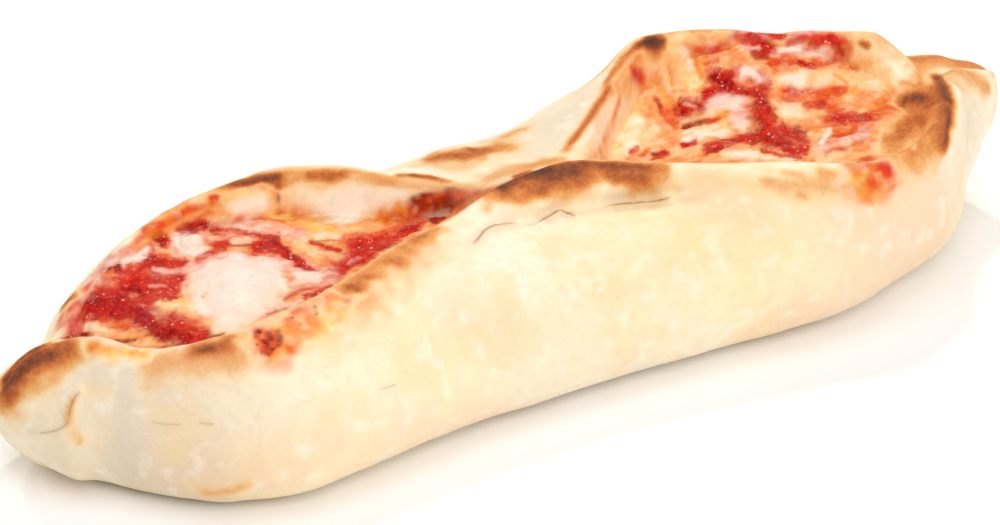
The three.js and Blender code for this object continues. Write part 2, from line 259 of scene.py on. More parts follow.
# name: colour, wet, pulpy, cheesy
WET = {
    "yellow": ((250, 204, 100), 0.4, 0, 0.2), "oil": ((238, 146, 44), 0.6, 0, 0.1), "orange": ((228, 92, 18), 0.8, 0.25, 0),
    "red": ((222, 34, 8), 0.9, 0.8, 0), "deep": ((190, 10, 4), 1.0, 1.0, 0), "maroon": ((104, 8, 4), 0.9, 0.7, 0),
    "rust": ((158, 50, 14), 0.7, 0.2, 0), "pink": ((238, 176, 156), 0.7, 0.1, 0.7), "salmon": ((226, 98, 66), 0.8, 0.5, 0.3),
    "wall_pale": ((254, 238, 206), 0.15, 0, 0.1), "white_wall": ((254, 246, 232), 0.15, 0, 0.1), "wall_gold": ((250, 214, 150), 0.25, 0, 0.1), "wall_oil": ((238, 166, 84), 0.4, 0, 0.1),
    "cheese": ((245, 229, 216), 0.5, 0, 1), "cream": ((247, 218, 170), 0.5, 0, 0.9), "peach": ((243, 174, 106), 0.6, 0.1, 0.6),
}
VARY = {
    "red": ("orange", 0.35, "deep", 0.6), "deep": ("red", 0.6, "maroon", 0.4), "cheese": ("pink", 0.12, "cream", 0.12),
    "cream": ("peach", 0.6, "cheese", 0.6), "peach": ("cream", 0.6, "orange", 0.4), "orange": ("oil", 0.55, "red", 0.55),
    "wall_pale": ("white_wall", 0.6, "wall_gold", 0.4), "white_wall": ("wall_pale", 0.3, "cheese", 0.3), "wall_gold": ("wall_pale", 0.5, "wall_oil", 0.4), "wall_oil": ("wall_gold", 0.5, "orange", 0.4),
    "salmon": ("pink", 0.6, "red", 0.6), "pink": ("cheese", 0.55, "salmon", 0.5), "oil": ("yellow", 0.4, "orange", 0.4),
    "rust": ("orange", 0.4, "maroon", 0.4), "maroon": ("deep", 0.5, "rust", 0.3), "yellow": ("cream", 0.4, "oil", 0.5),
}


def to_lines(pts):
    p = np.asarray(pts, float)
    return (p[:1], p[:1]) if len(p) == 1 else (p[:-1], p[1:])


def line_distance(Q, pts):
    A, B = to_lines(pts)
    d = np.full(len(Q), 1e9)
    for a, b in zip(A, B):
        ab = b - a; L = float(ab @ ab)
        t = np.clip(((Q - a) @ ab) / L, 0, 1) if L > 0 else np.zeros(len(Q))
        d = np.minimum(d, np.sqrt(((Q - a - t[:, None] * ab) ** 2).sum(-1)))
    return d


def smooth_line(pts, n=6):
    p = np.asarray(pts, float)
    if len(p) < 3:
        return p
    e = np.concatenate([2 * p[:1] - p[1:2], p, 2 * p[-1:] - p[-2:-1]])
    out = []
    for i in range(1, len(e) - 2):
        for t in np.arange(n) / n:
            out.append(0.5 * (2 * e[i] + (e[i + 1] - e[i - 1]) * t + (2 * e[i - 1] - 5 * e[i] + 4 * e[i + 1] - e[i + 2]) * t * t
                              + (3 * e[i] - e[i - 1] - 3 * e[i + 1] + e[i + 2]) * t ** 3))
    return np.array(out + [p[-1]])


def signed_line(Q, pts):
    """Signed distance to a line lying on the side the view sees, its share along the line, and how far past the ends."""
    A, B = to_lines(pts)
    run = np.concatenate([[0], np.cumsum(np.linalg.norm(B - A, axis=1))])
    d = np.full(len(Q), 1e9); s = np.ones(len(Q)); share = np.zeros(len(Q)); past = np.zeros(len(Q))
    for k, (a, b) in enumerate(zip(A, B)):
        ab = b - a; L = float(np.sqrt(ab @ ab)); raw = ((Q - a) @ ab) / (L * L); t = np.clip(raw, 0, 1)
        off = Q - a - t[:, None] * ab; e = np.sqrt((off ** 2).sum(-1))
        near = e < d
        d = np.where(near, e, d); s = np.where(near, np.sign(off @ np.cross(BACK, ab)), s)
        share = np.where(near, (run[k] + t * L) / run[-1], share)
        beyond = np.maximum(-raw, 0) * L if k == 0 else np.maximum(raw - 1, 0) * L if k == len(A) - 1 else np.zeros(len(Q))
        past = np.where(near, beyond, past)
    return d * s, share, past


GATE = {"red": 0.25, "deep": 0.2, "cheese": 0.1, "wall_pale": 0.0, "white_wall": 0.0, "wall_gold": 0.2, "wall_oil": 0.3}


def fresh(n, name="dough"):
    """colour, toasted, wet, pulpy, cheesy, floury"""
    return [np.tile(lin(DOUGH[name]), (n, 1))] + [np.zeros(n) for _ in range(5)]


def lay(Q, state, strokes, warp, vary, gate, hard=0.3, shake=None, soak=False):
    """Lays strokes (name, radius, strength, points) over the state at points Q."""
    for name, radius, strength, pts in strokes:
        p = np.asarray(pts, float)
        wet = name in WET
        inner, outer = (0.0, 1.8) if "wall" in name or (soak and name in ("yellow", "oil")) else (hard, 1.3) if wet else (0.0, 2.35)
        lo, hi = p.min(0) - (outer + 1) * radius - 4, p.max(0) + (outer + 1) * radius + 4
        m = np.all((Q > lo) & (Q < hi), axis=1)
        if not m.any():
            continue
        at = Q[m] + warp[m] * radius
        if shake is not None:
            at = at + shake[m] * min(1.0, radius / 5.0)
        d = line_distance(at, pts)
        a = strength * (1 - step(inner, outer, d / radius))
        if name in TOAST:
            level, flour = TOAST[name]
            state[1][m] += np.maximum(level - state[1][m], 0) * a
            for k in (2, 3, 4):
                state[k][m] *= 1 - a
            state[5][m] += (flour - state[5][m]) * a
            continue
        if wet:
            colour, w, pulp, cheese = WET[name]
            one, n1, two, n2 = VARY[name]
            v = vary[m]
            c = np.tile(rich(colour), (len(v), 1))
            c += (rich(WET[one][0]) - c) * (n1 * step(0.0, 0.6, v))[:, None]
            c += (rich(WET[two][0]) - c) * (n2 * step(0.0, 0.6, -v))[:, None]
            a = a * (1 - GATE.get(name, 0.4) * step(0.15, 0.7, gate[m]))
            kinds = (0.0, w, pulp, cheese, 0.0)
        else:
            c = lin(DOUGH[name])[None, :]
            kinds = (0.0, 0.0, 0.0, 0.0, 0.0)
        state[0][m] += (c - state[0][m]) * a[:, None]
        for k in range(5):
            state[k + 1][m] += (kinds[k] - state[k + 1][m]) * a


# ---------------------------------------------------------------------------
# Mesh helpers
# ---------------------------------------------------------------------------
def make_mesh(name, P, quads, tris, state=None, **fields):
    me = bpy.data.meshes.new(name)
    quads = np.asarray(quads, np.int32).reshape(-1, 4); tris = np.asarray(tris, np.int32).reshape(-1, 3)
    me.vertices.add(len(P))
    me.vertices.foreach_set("co", ((P - MIDDLE) * MM).astype(np.float32).ravel())
    loops = np.concatenate([quads.ravel(), tris.ravel()])
    me.loops.add(len(loops)); me.loops.foreach_set("vertex_index", loops)
    total = np.concatenate([np.full(len(quads), 4), np.full(len(tris), 3)]).astype(np.int32)
    start = np.concatenate([[0], np.cumsum(total)[:-1]]).astype(np.int32)
    me.polygons.add(len(total))
    me.polygons.foreach_set("loop_start", start)
    me.update(calc_edges=True); me.validate()
    me.polygons.foreach_set("use_smooth", np.ones(len(total), bool))
    if state is not None:
        col = me.attributes.new("Col", "FLOAT_COLOR", "POINT")
        col.data.foreach_set("color", np.concatenate([state[0], np.ones((len(P), 1))], 1).astype(np.float32).ravel())
        pair = np.stack([state[1], state[2], state[3], state[4]], 1)
        at = me.attributes.new("Kind", "FLOAT_COLOR", "POINT")
        at.data.foreach_set("color", pair.astype(np.float32).ravel())
        at = me.attributes.new("Floury", "FLOAT", "POINT"); at.data.foreach_set("value", state[5].astype(np.float32))
    for field, v in fields.items():
        at = me.attributes.new(field, "FLOAT", "POINT"); at.data.foreach_set("value", v.astype(np.float32))
    ob = bpy.data.objects.new(name, me)
    bpy.context.scene.collection.objects.link(ob)
    return ob


def grid_normals(G, closed):
    du = np.gradient(G, axis=0)
    if closed:
        dv = 0.5 * (np.roll(G, -1, 1) - np.roll(G, 1, 1))
    else:
        dv = np.gradient(G, axis=1)
    N = np.cross(dv, du)
    return N / (np.linalg.norm(N, axis=-1, keepdims=True) + 1e-12)


def smooth_rows(A, n, closed):
    for _ in range(n):
        B = A.copy()
        B[1:-1] = 0.25 * A[:-2] + 0.5 * A[1:-1] + 0.25 * A[2:]
        if closed:
            B = 0.25 * np.roll(B, 1, 1) + 0.5 * B + 0.25 * np.roll(B, -1, 1)
        A = B
    return A


# ---------------------------------------------------------------------------
# Dough
# ---------------------------------------------------------------------------
COUNTS = [4, 5, 5, 9, 18, 20, 19, 20, 20, 14, 8, 5, 5, 8, 14, 14, 12, 12, 11, 7, 5, 4]
NX, NCAP = 364, 22
G = loft(NX, NCAP, COUNTS, 0.45)
BASE = G.copy()
nx, ns = G.shape[:2]

# Coarse copy used to carry points of the view onto the dough.
coarse = loft(150, 8, [3, 3, 3, 4, 5, 5, 5, 5, 5, 4, 3, 3, 3, 3, 4, 4, 5, 5, 5, 4, 3, 3])
cn, cs = coarse.shape[:2]
cf = []
for i in range(cn - 1):
    for j in range(cs):
        cf.append((i * cs + j, (i + 1) * cs + j, (i + 1) * cs + (j + 1) % cs, i * cs + (j + 1) % cs))
TREE = BVHTree.FromPolygons([tuple(p) for p in coarse.reshape(-1, 3)], cf)


def on(*pixels):
    """Points of the view, carried onto the dough."""
    out = []
    for p in pixels:
        d = ray(p)
        hit = TREE.ray_cast(Vector(EYE), Vector(d))
        if hit[0] is None:
            t = float((TARGET - EYE) @ d)
            hit = TREE.find_nearest(Vector(EYE + d * t))
        out.append(tuple(hit[0]))
    return out


def crest(side, x0, x1, n=8, dy=0.0, dz=0.0):
    x = np.linspace(x0, x1, n)
    y, z = (rim_near_y(x), rim_near_z(x)) if side == "near" else (rim_far_y(x), rim_far_z(x))
    return np.stack([x, y + dy, z + 1 + dz], -1)


def tip_crest(x0, x1, n=10, dy=0.0, dz=0.0):
    """The far rim's crest where it closes into the right tip."""
    x = np.linspace(x0, x1, n)
    e = np.sqrt(np.clip(1 - (np.maximum(x - RIGHT_CAP, 0) / (RIGHT_TIP - RIGHT_CAP)) ** 2, 0, 1))
    cy, cz = tip_y(x), tip_z(x)
    return np.stack([x, cy + (rim_far_y(x) - cy) * e + dy, cz + (rim_far_z(x) + 1 - cz) * e + dz], -1)


# Strokes on the dough: (name, radius in mm, strength, points).
S = []
# far outer side and unseen stretches
S += [("tan", 3, 0.8, crest("far", -96, -30, dy=8, dz=-5)), ("golden", 2.0, 0.7, crest("far", -90, -40, dy=7, dz=-4)), ("tan", 3, 0.6, crest("far", -116, -96, dy=4, dz=-3)),
      ("golden", 3, 0.7, crest("far", 34, 108, dy=8, dz=-4)), ("brown", 2.2, 0.6, crest("far", 44, 62, dy=5, dz=-1)), ("tan", 4, 0.6, crest("far", 66, 112, dy=8, dz=-3)),
      ("tan", 7, 0.4, [(-20, 26, 36), (10, 24, 38), (34, 30, 38)]), ("tan", 6, 0.4, [(-60, 41, 24), (-30, 42, 22)]),
      ("golden", 4, 0.4, [(62, 43, 28), (80, 41, 30)]), ("tan", 9, 0.35, [(-100, -10, 0), (-60, 10, 0), (0, 0, 0), (60, 10, 0), (100, 0, 0)]),
      ("golden", 5, 0.4, [(-80, 22, 0), (-40, -18, 0), (30, 20, 0), (80, -14, 0)])]
# left tip
S += [("warm", 7, 0.6, on((45, 380), (60, 372), (80, 362))),
      ("tan", 5.5, 0.9, on((12, 386), (30, 372), (52, 362), (74, 354))),
      ("golden", 3.4, 0.9, on((8, 384), (20, 372), (40, 361), (62, 353))),
      ("brown", 2.0, 0.9, on((5, 380), (12, 368), (28, 358), (45, 352), (62, 349), (72, 348))),
      ("dark", 1.0, 0.75, on((20, 359), (32, 354), (42, 352))), ("dark", 0.8, 0.6, on((5, 378), (4, 390))), ("brown", 0.9, 0.5, on((14, 390))),
      ("yellow", 2.6, 1.0, on((94, 350), (110, 353))), ("yellow", 2.4, 0.9, on((128, 348), (146, 351))), ("oil", 1.6, 0.9, on((96, 349), (106, 351))), ("oil", 1.0, 0.6, on((132, 347), (140, 348))),
      ("tan", 1.6, 0.6, on((76, 432), (78, 444))),  ("tan", 1.2, 0.5, on((72, 418))), ("tan", 0.8, 0.6, on((100, 445))),
      ("golden", 1.4, 0.8, on((42, 465), (54, 470), (66, 472), (78, 473))), ("brown", 0.8, 0.7, on((60, 472), (78, 474)))]
S += [("pink", 2.6, 0.9, on((80, 296), (92, 276), (106, 262), (122, 250))), ("peach", 2.0, 0.8, on((62, 318), (70, 304), (80, 290))), ("salmon", 1.4, 0.8, on((66, 326), (70, 314), (76, 302))),
      ("orange", 1.0, 0.8, on((60, 322), (62, 314))), ("pink", 1.4, 0.8, on((70, 320), (76, 310))), ("orange", 1.0, 0.7, on((88, 288), (94, 280))), ("orange", 1.4, 0.7, on((130, 246), (142, 236), (156, 226))),
      ("wall_pale", 1.6, 0.8, on((56, 334), (60, 326))), ("brown", 1.2, 0.8, on((64, 306), (69, 298)))]
# floury patch, and painted shade ("shade") on the skin near the left end
S += [("flour", 12, 0.8, on((110, 400), (140, 412), (170, 424))), ("shade", 10, 0.7, on((110, 430), (140, 448), (180, 456))), ("flour", 9, 0.5, on((120, 440), (160, 450))),
      ("shade", 7, 0.5, on((110, 470), (150, 482), (200, 488))), ("blush", 6, 0.5, on((180, 470), (260, 470), (320, 455))),
      ("shade", 7, 0.25, on((270, 430), (320, 430))),
      ("golden", 1.8, 0.7, on((203, 491), (225, 490), (243, 486))), ("tan", 3, 0.5, on((200, 484), (238, 478), (250, 462)))]
# near rim of the left pocket
S += [("tan", 4.0, 0.7, on((150, 364), (185, 359), (215, 357), (250, 353), (300, 332))), ("tan", 5.4, 0.95, on((320, 326), (350, 306), (380, 286), (405, 266), (432, 250))),
      ("mauve", 3.2, 0.75, on((154, 358), (180, 358), (210, 356), (245, 350))), ("mauve", 2.6, 0.3, on((160, 380), (200, 374), (230, 370))),
      ("tan", 4.6, 0.8, on((350, 326), (384, 302), (414, 276), (442, 256))), ("mauve", 3.8, 0.75, on((340, 318), (364, 300), (398, 276), (425, 254), (440, 242))), ("golden", 1.4, 0.6, on((398, 280), (410, 272))), ("golden", 1.2, 0.5, on((360, 306), (372, 298))),
      ("golden", 2.4, 0.85, on((205, 346), (225, 342), (250, 334), (290, 316), (330, 292), (352, 280), (380, 262), (410, 243), (436, 230))),
      ("brown", 1.8, 0.8, on((196, 349), (208, 347), (222, 344))), ("dark", 0.9, 0.5, on((203, 349), (210, 347))),
      ("yellow", 4.4, 1.0, on((288, 330), (306, 322), (324, 314), (336, 318))), ("yellow", 2.6, 0.8, on((318, 332), (332, 324))),
      ("oil", 3.6, 1.0, on((278, 324), (300, 315), (318, 306), (334, 298))), ("oil", 2.6, 0.9, on((294, 332), (312, 324))), ("orange", 1.6, 0.5, on((286, 318), (304, 309), (326, 300))),
      ("oil", 5.0, 1.0, on((266, 338), (272, 346))), ("oil", 3.0, 0.9, on((258, 350), (280, 346))), ("orange", 3.4, 0.85, on((264, 336), (272, 346))), ("orange", 2.2, 0.7, on((278, 336), (262, 348))),
      ("rust", 0.8, 0.9, on((259, 331), (257, 336))), ("rust", 0.8, 0.9, on((264, 341), (268, 346), (272, 350))), ("rust", 0.8, 0.9, on((278, 345), (281, 338), (279, 332))), ("rust", 0.9, 0.8, on((268, 334), (273, 338))), ("rust", 0.7, 0.8, on((262, 352), (268, 354))),
      ("maroon", 0.55, 1.0, on((260, 332))), ("maroon", 0.5, 1.0, on((266, 343))), ("maroon", 0.6, 1.0, on((270, 339))), ("maroon", 0.5, 0.9, on((279, 340))), ("maroon", 0.45, 0.9, on((273, 349))), ("maroon", 0.4, 0.9, on((257, 345))),
      ("rust", 0.7, 0.9, on((314, 306), (317, 313))), ("maroon", 0.45, 0.9, on((315, 307))), ("maroon", 0.4, 0.9, on((317, 314))), ("rust", 0.6, 0.8, on((292, 318))), ("rust", 0.5, 0.7, on((326, 303))), ("rust", 0.5, 0.7, on((300, 325))),
      ("oil", 2.0, 0.8, on((340, 302), (352, 294), (360, 288))), ("orange", 1.4, 0.7, on((344, 298), (352, 292))),
      ("brown", 1.6, 0.8, on((346, 291), (352, 288), (360, 287))), ("dark", 0.8, 0.9, on((349, 287))), ("dark", 0.8, 0.8, on((357, 290))),
      ("brown", 1.8, 0.9, on((362, 281), (370, 276))), ("dark", 0.9, 0.6, on((369, 276))),
      ("brown", 2.2, 0.8, on((380, 268), (390, 264), (398, 262))), ("dark", 0.8, 0.4, on((387, 264))),
      ("brown", 1.2, 0.8, on((411, 250))), ("brown", 2.2, 0.8, on((418, 238), (426, 234), (432, 234))), ("dark", 0.7, 0.6, on((424, 236))),
      ("oil", 0.8, 0.8, on((443, 237))), ("brown", 1.2, 0.5, on((402, 248))), ("white", 1.2, 0.8, on((421, 227), (434, 222), (444, 219)))]
# far rim of the left pocket, from the tip round to the bridge
S += [("brown", 1.5, 0.8, on((62, 305), (72, 298))), ("tan", 1.2, 0.8, on((148, 226), (175, 210), (205, 198), (228, 189))),
      ("golden", 1.4, 0.9, on((205, 199), (222, 192), (245, 184), (275, 178))),
      ("brown", 1.9, 0.85, on((222, 192), (240, 184), (258, 179), (278, 176))), ("dark", 0.9, 0.75, on((232, 187), (246, 182), (262, 177), (276, 176))), ("orange", 0.8, 0.5, on((236, 192), (250, 188), (262, 186))),
      ("golden", 1.6, 0.8, on((286, 174), (310, 174), (345, 174), (375, 177))), ("brown", 1.3, 0.7, on((312, 176), (340, 175))), ("tan", 1.3, 0.8, on((300, 176), (350, 176), (390, 181))),
      # mauve, brown and dark along the far rim's edge towards the bridge: browning, with the soft shade line under that
      # edge painted in
      ("mauve", 1.2, 0.7, on((385, 180), (410, 183), (440, 187))), ("golden", 1.4, 0.6, on((378, 176), (392, 180))),
      ("brown", 0.9, 0.8, on((400, 175), (424, 177), (448, 181), (472, 184))), ("dark", 0.6, 0.6, on((412, 175), (430, 177), (450, 180.5)))]
S += [("oil", 2.4, 0.8, on((150, 232), (172, 218), (196, 206), (214, 200))), ("orange", 1.3, 0.8, on((160, 228), (170, 220))), ("orange", 1.2, 0.8, on((184, 214), (194, 208))), ("red", 0.9, 0.8, on((211, 198), (216, 197))), ("orange", 1.0, 0.7, on((202, 208), (212, 204))),
      ("yellow", 1.4, 0.6, on((226, 194), (240, 190))), ("oil", 1.0, 0.7, on((262, 186), (274, 188))), ("brown", 0.7, 0.9, on((277, 184), (279, 187))), ("golden", 0.9, 0.6, on((286, 183), (300, 181)))]
# the bridge: far shoulder, the near flap's browned lip, and its folds
# painted shade on the far shoulder
S += [("shade", 9, 0.8, on((500, 160), (530, 150), (560, 124), (590, 95))), ("warm", 5, 0.5, on((470, 170), (500, 160))),
      ("golden", 4.0, 1.0, on((440, 158), (462, 156), (484, 153), (500, 147))), ("brown", 2.2, 0.75, on((440, 157), (460, 154), (484, 150))),
      ("dark", 0.7, 0.7, on((468, 148), (474, 149))), ("dark", 0.6, 0.4, on((456, 155))), ("mauve", 2.4, 0.6, on((430, 164), (446, 168), (470, 166))),
      ("tan", 3.2, 0.7, on((498, 144), (515, 136), (530, 128))), ("golden", 1.8, 0.6, on((506, 137), (520, 131))),
      ("tan", 2.8, 0.9, on((484, 180), (520, 170), (555, 161))), ("mauve", 2.0, 0.8, on((492, 177), (520, 168), (545, 163))), ("golden", 0.9, 0.6, on((524, 168), (548, 162), (562, 158))),
      ("red", 0.6, 0.8, on((560, 158))),
      ("tan", 4.2, 0.9, on((498, 204), (530, 196), (560, 188), (600, 184), (640, 186), (664, 184))),
      ("golden", 3.2, 1.0, on((498, 198), (530, 190), (560, 183), (590, 178), (640, 180), (664, 180))), ("golden", 1.8, 0.9, on((526, 198), (532, 206))),
      ("golden", 2.4, 0.8, on((628, 184), (645, 187), (660, 184))),
      ("brown", 2.7, 1.0, on((500, 191), (522, 180), (550, 172), (585, 168), (620, 168), (660, 170))),
      ("brown", 1.6, 0.7, on((514, 190), (532, 186), (560, 179), (585, 178))), ("brown", 1.2, 0.4, on((628, 176), (645, 178), (658, 177))),
      ("dark", 1.2, 0.9, on((502, 187), (518, 179), (534, 173), (550, 169))), ("dark", 1.0, 0.6, on((562, 166), (590, 163), (616, 165), (640, 167))),
      ("brown", 1.8, 0.9, on((540, 178), (560, 175), (585, 172))), ("dark", 1.3, 0.7, on((538, 178), (560, 174), (580, 171))), ("black", 0.7, 0.6, on((514, 179), (528, 174))), ("dark", 0.9, 0.5, on((650, 168), (666, 169))),
      ("white", 2.0, 0.7, on((604, 192), (618, 195))), ("white", 2.4, 0.8, on((686, 170), (700, 182))), ("white", 1.5, 0.6, on((500, 212), (520, 212), (545, 204))),
      # tan along the folds of the near flap: painted shade in the creases
      ("tan", 0.9, 0.6, on((480, 238), (486, 231), (495, 228), (519, 227))), ("tan", 0.9, 0.6, on((609, 209), (655, 205), (671, 200)))]
# long near wall, with painted shade ("shade") low in the middle and towards the right end
S += [("warm", 14, 0.6, on((430, 330), (520, 300), (600, 270), (680, 250))), ("warm", 12, 0.5, on((720, 240), (800, 225))), ("blush", 5, 0.6, on((700, 208), (760, 210))), ("blush", 9, 0.8, on((860, 214), (900, 204), (935, 180))), ("tan", 5, 0.35, on((880, 200), (930, 168))),
      ("white", 10, 0.15, on((520, 370), (620, 345), (560, 400))), ("shade", 12, 0.3, on((560, 370), (640, 345))), ("shade", 9, 0.45, on((880, 272), (930, 240))), ("white", 9, 0.6, on((470, 270), (510, 250))), ("blush", 6, 0.45, on((460, 320), (500, 330))),
      ("blush", 9, 0.6, on((800, 330), (880, 285), (940, 240))), ("blush", 6, 0.5, on((380, 440), (450, 420), (560, 395))),
      ("yellow", 0.9, 0.35, on((540, 243))), ("yellow", 0.8, 0.3, on((586, 247))), ("tan", 0.7, 0.5, on((440, 394)))]
# near rim of the right pocket and the browned corner
S += [("tan", 3.6, 0.8, on((700, 176), (740, 178), (780, 182), (820, 186), (845, 186))), ("tan", 2.2, 0.4, on((750, 192), (800, 196), (830, 198))),
      ("mauve", 1.4, 0.6, on((772, 182), (790, 186), (812, 184), (836, 186))), ("golden", 1.0, 0.5, on((786, 172), (800, 175))), ("golden", 1.2, 0.6, on((820, 174), (846, 176))), ("golden", 0.7, 0.5, on((800, 194), (806, 197))), ("golden", 0.6, 0.5, on((838, 190))), ("golden", 0.7, 0.4, on((762, 178), (770, 180))),
      ("oil", 3.2, 0.9, on((850, 180), (872, 186), (888, 182))), ("oil", 2.2, 0.7, on((862, 194), (882, 192))),
      ("tan", 5.0, 0.95, on((905, 150), (925, 136), (940, 116), (944, 96))), ("golden", 4.4, 0.9, on((898, 148), (920, 134), (934, 112), (940, 92))),
      ("tan", 4.4, 0.9, on((886, 172), (915, 162), (940, 150))), ("golden", 3.4, 0.95, on((896, 160), (920, 150), (940, 136))),
      ("brown", 2.2, 0.7, on((934, 88), (943, 100), (944, 120), (940, 136))), ("brown", 1.5, 0.8, on((938, 78), (946, 92), (949, 112), (947, 130), (943, 146))),
      ("dark", 1.1, 0.8, on((934, 76), (943, 84), (948, 98))), ("dark", 0.7, 0.6, on((949, 108), (948, 124), (944, 144))),
      ("dark", 1.0, 0.85, on((902, 101), (914, 97), (924, 99))), ("brown", 1.6, 0.8, on((898, 102), (916, 100), (932, 104))),
      ("brown", 2.2, 0.8, on((900, 128), (910, 130))), ("brown", 1.8, 0.8, on((878, 137), (892, 139), (904, 134))),
      ("brown", 1.4, 0.6, on((918, 118), (926, 122))), ("brown", 1.6, 0.6, on((903, 83), (916, 86)))]
# far rim of the right pocket
S += [("mauve", 1.4, 0.8, on((564, 150), (580, 132), (594, 112), (606, 92), (618, 74))), ("golden", 0.8, 0.85, on((566, 148), (584, 126), (600, 102), (614, 80))), ("brown", 0.55, 0.7, on((572, 142), (590, 118), (602, 98), (614, 80))),
      ("golden", 2.4, 0.9, on((612, 88), (622, 70), (636, 56), (656, 50))), ("brown", 1.6, 0.9, on((614, 80), (626, 62), (640, 48), (656, 43))),
      ("dark", 1.5, 0.9, on((642, 45), (650, 40), (662, 38))), ("black", 0.8, 0.4, on((648, 42), (656, 39))),
      ("tan", 2.0, 0.7, on((680, 31), (706, 31), (728, 33))), ("golden", 1.2, 0.8, on((694, 32), (708, 32))),
      ("brown", 1.0, 0.9, on((861, 43), (865, 45))), ("golden", 1.6, 0.9, on((894, 41), (908, 50), (920, 60))), ("orange", 1.0, 0.5, on((904, 50), (914, 57))),
      ("tan", 1.4, 0.6, on((856, 37), (880, 36), (896, 41)))]
# strokes that go on last: the right tip (with painted shade on its face), the left tip's browning and the oil stains
TIPS = [("tan", 3.0, 0.95, tip_crest(112, 139, dy=-1.5, dz=-0.8)), ("golden", 2.4, 0.7, tip_crest(116, 138, dy=-1.0, dz=-0.4)), ("mauve", 2.8, 0.55, tip_crest(120, 138, dy=-3.0, dz=-1.6)), ("tan", 2.6, 0.6, tip_crest(118, 136, dy=3.0, dz=-1.6)),
        ("brown", 1.5, 0.45, tip_crest(114, 126)), ("brown", 1.2, 0.4, tip_crest(129, 137, dy=-0.8, dz=-0.4)), ("tan", 3.0, 0.95, on((944, 80), (958, 77), (974, 79), (988, 86))), ("golden", 2.0, 0.75, on((948, 73), (962, 71), (978, 73), (990, 80))), ("mauve", 2.4, 0.6, on((952, 80), (970, 80), (984, 86))),
        ("shade", 6, 0.6, on((972, 112), (966, 140))), ("tan", 1.0, 0.5, on((976, 138), (974, 150))),
        ("tan", 4.0, 0.9, on((6, 404), (16, 388), (34, 374), (54, 364), (74, 356))), ("golden", 2.8, 0.95, on((5, 400), (14, 386), (28, 373), (46, 364), (66, 356))),
        ("brown", 1.9, 0.85, on((5, 394), (12, 382), (25, 370), (42, 361), (60, 354), (70, 350))), ("dark", 1.0, 0.6, on((6, 388), (14, 376), (24, 367), (36, 361), (52, 356))), ("dark", 0.7, 0.6, on((16, 380), (28, 371))), ("dark", 0.5, 0.7, on((38, 366))), ("dark", 0.5, 0.6, on((10, 396))), ("brown", 0.6, 0.7, on((24, 380))), ("brown", 0.5, 0.7, on((36, 374))),
        ("brown", 1.1, 0.6, on((10, 404), (16, 396))),
        ("yellow", 2.4, 1.0, on((94, 351), (110, 354))), ("yellow", 2.0, 0.9, on((128, 349), (146, 352))), ("oil", 1.5, 0.95, on((96, 350), (106, 352))), ("oil", 1.0, 0.7, on((132, 348), (142, 350))),
        ("golden", 0.8, 0.75, on((76, 398), (71, 408), (70, 418))), ("tan", 1.6, 0.9, on((71, 410), (73, 424), (79, 438))), ("yellow", 0.8, 0.6, on((74, 426), (78, 436))), ("golden", 0.5, 0.6, on((77, 430), (80, 438))), ("tan", 0.8, 0.6, on((99, 438), (102, 446)))]
S += [("oil", 4.0, 0.8, on((858, 172), (874, 184), (890, 178))), ("orange", 2.8, 0.9, on((874, 165), (884, 170), (888, 177))), ("red", 1.5, 0.5, on((880, 166), (888, 169))), ("orange", 1.6, 0.7, on((870, 180), (880, 184))), ("yellow", 1.6, 0.6, on((850, 182), (862, 190)))]

S += [("salmon", 2.0, 0.9, on((740, 36), (754, 33), (770, 34))), ("red", 1.3, 0.95, on((748, 34), (760, 37))), ("pink", 1.0, 0.9, on((742, 31), (752, 30))), ("red", 1.2, 0.9, on((772, 33), (786, 32))),
      ("pink", 1.3, 0.9, on((792, 31), (806, 31), (818, 32))), ("salmon", 1.6, 0.9, on((796, 36), (812, 35))), ("red", 1.6, 0.95, on((820, 36), (832, 38), (842, 43))), ("orange", 1.2, 0.7, on((846, 46), (850, 52))), ("orange", 1.4, 0.6, on((700, 36), (716, 36))),
      ("oil", 2.0, 0.85, on((618, 88), (627, 72), (640, 58))), ("yellow", 1.4, 0.7, on((622, 92), (630, 80))), ("orange", 1.5, 0.9, on((634, 71), (642, 76))), ("red", 0.9, 0.95, on((636, 74), (642, 80))),
      ("oil", 0.9, 0.9, on((600, 148), (607, 132), (615, 114), (621, 100))), ("orange", 0.5, 0.8, on((601, 146), (608, 130), (616, 112)))]

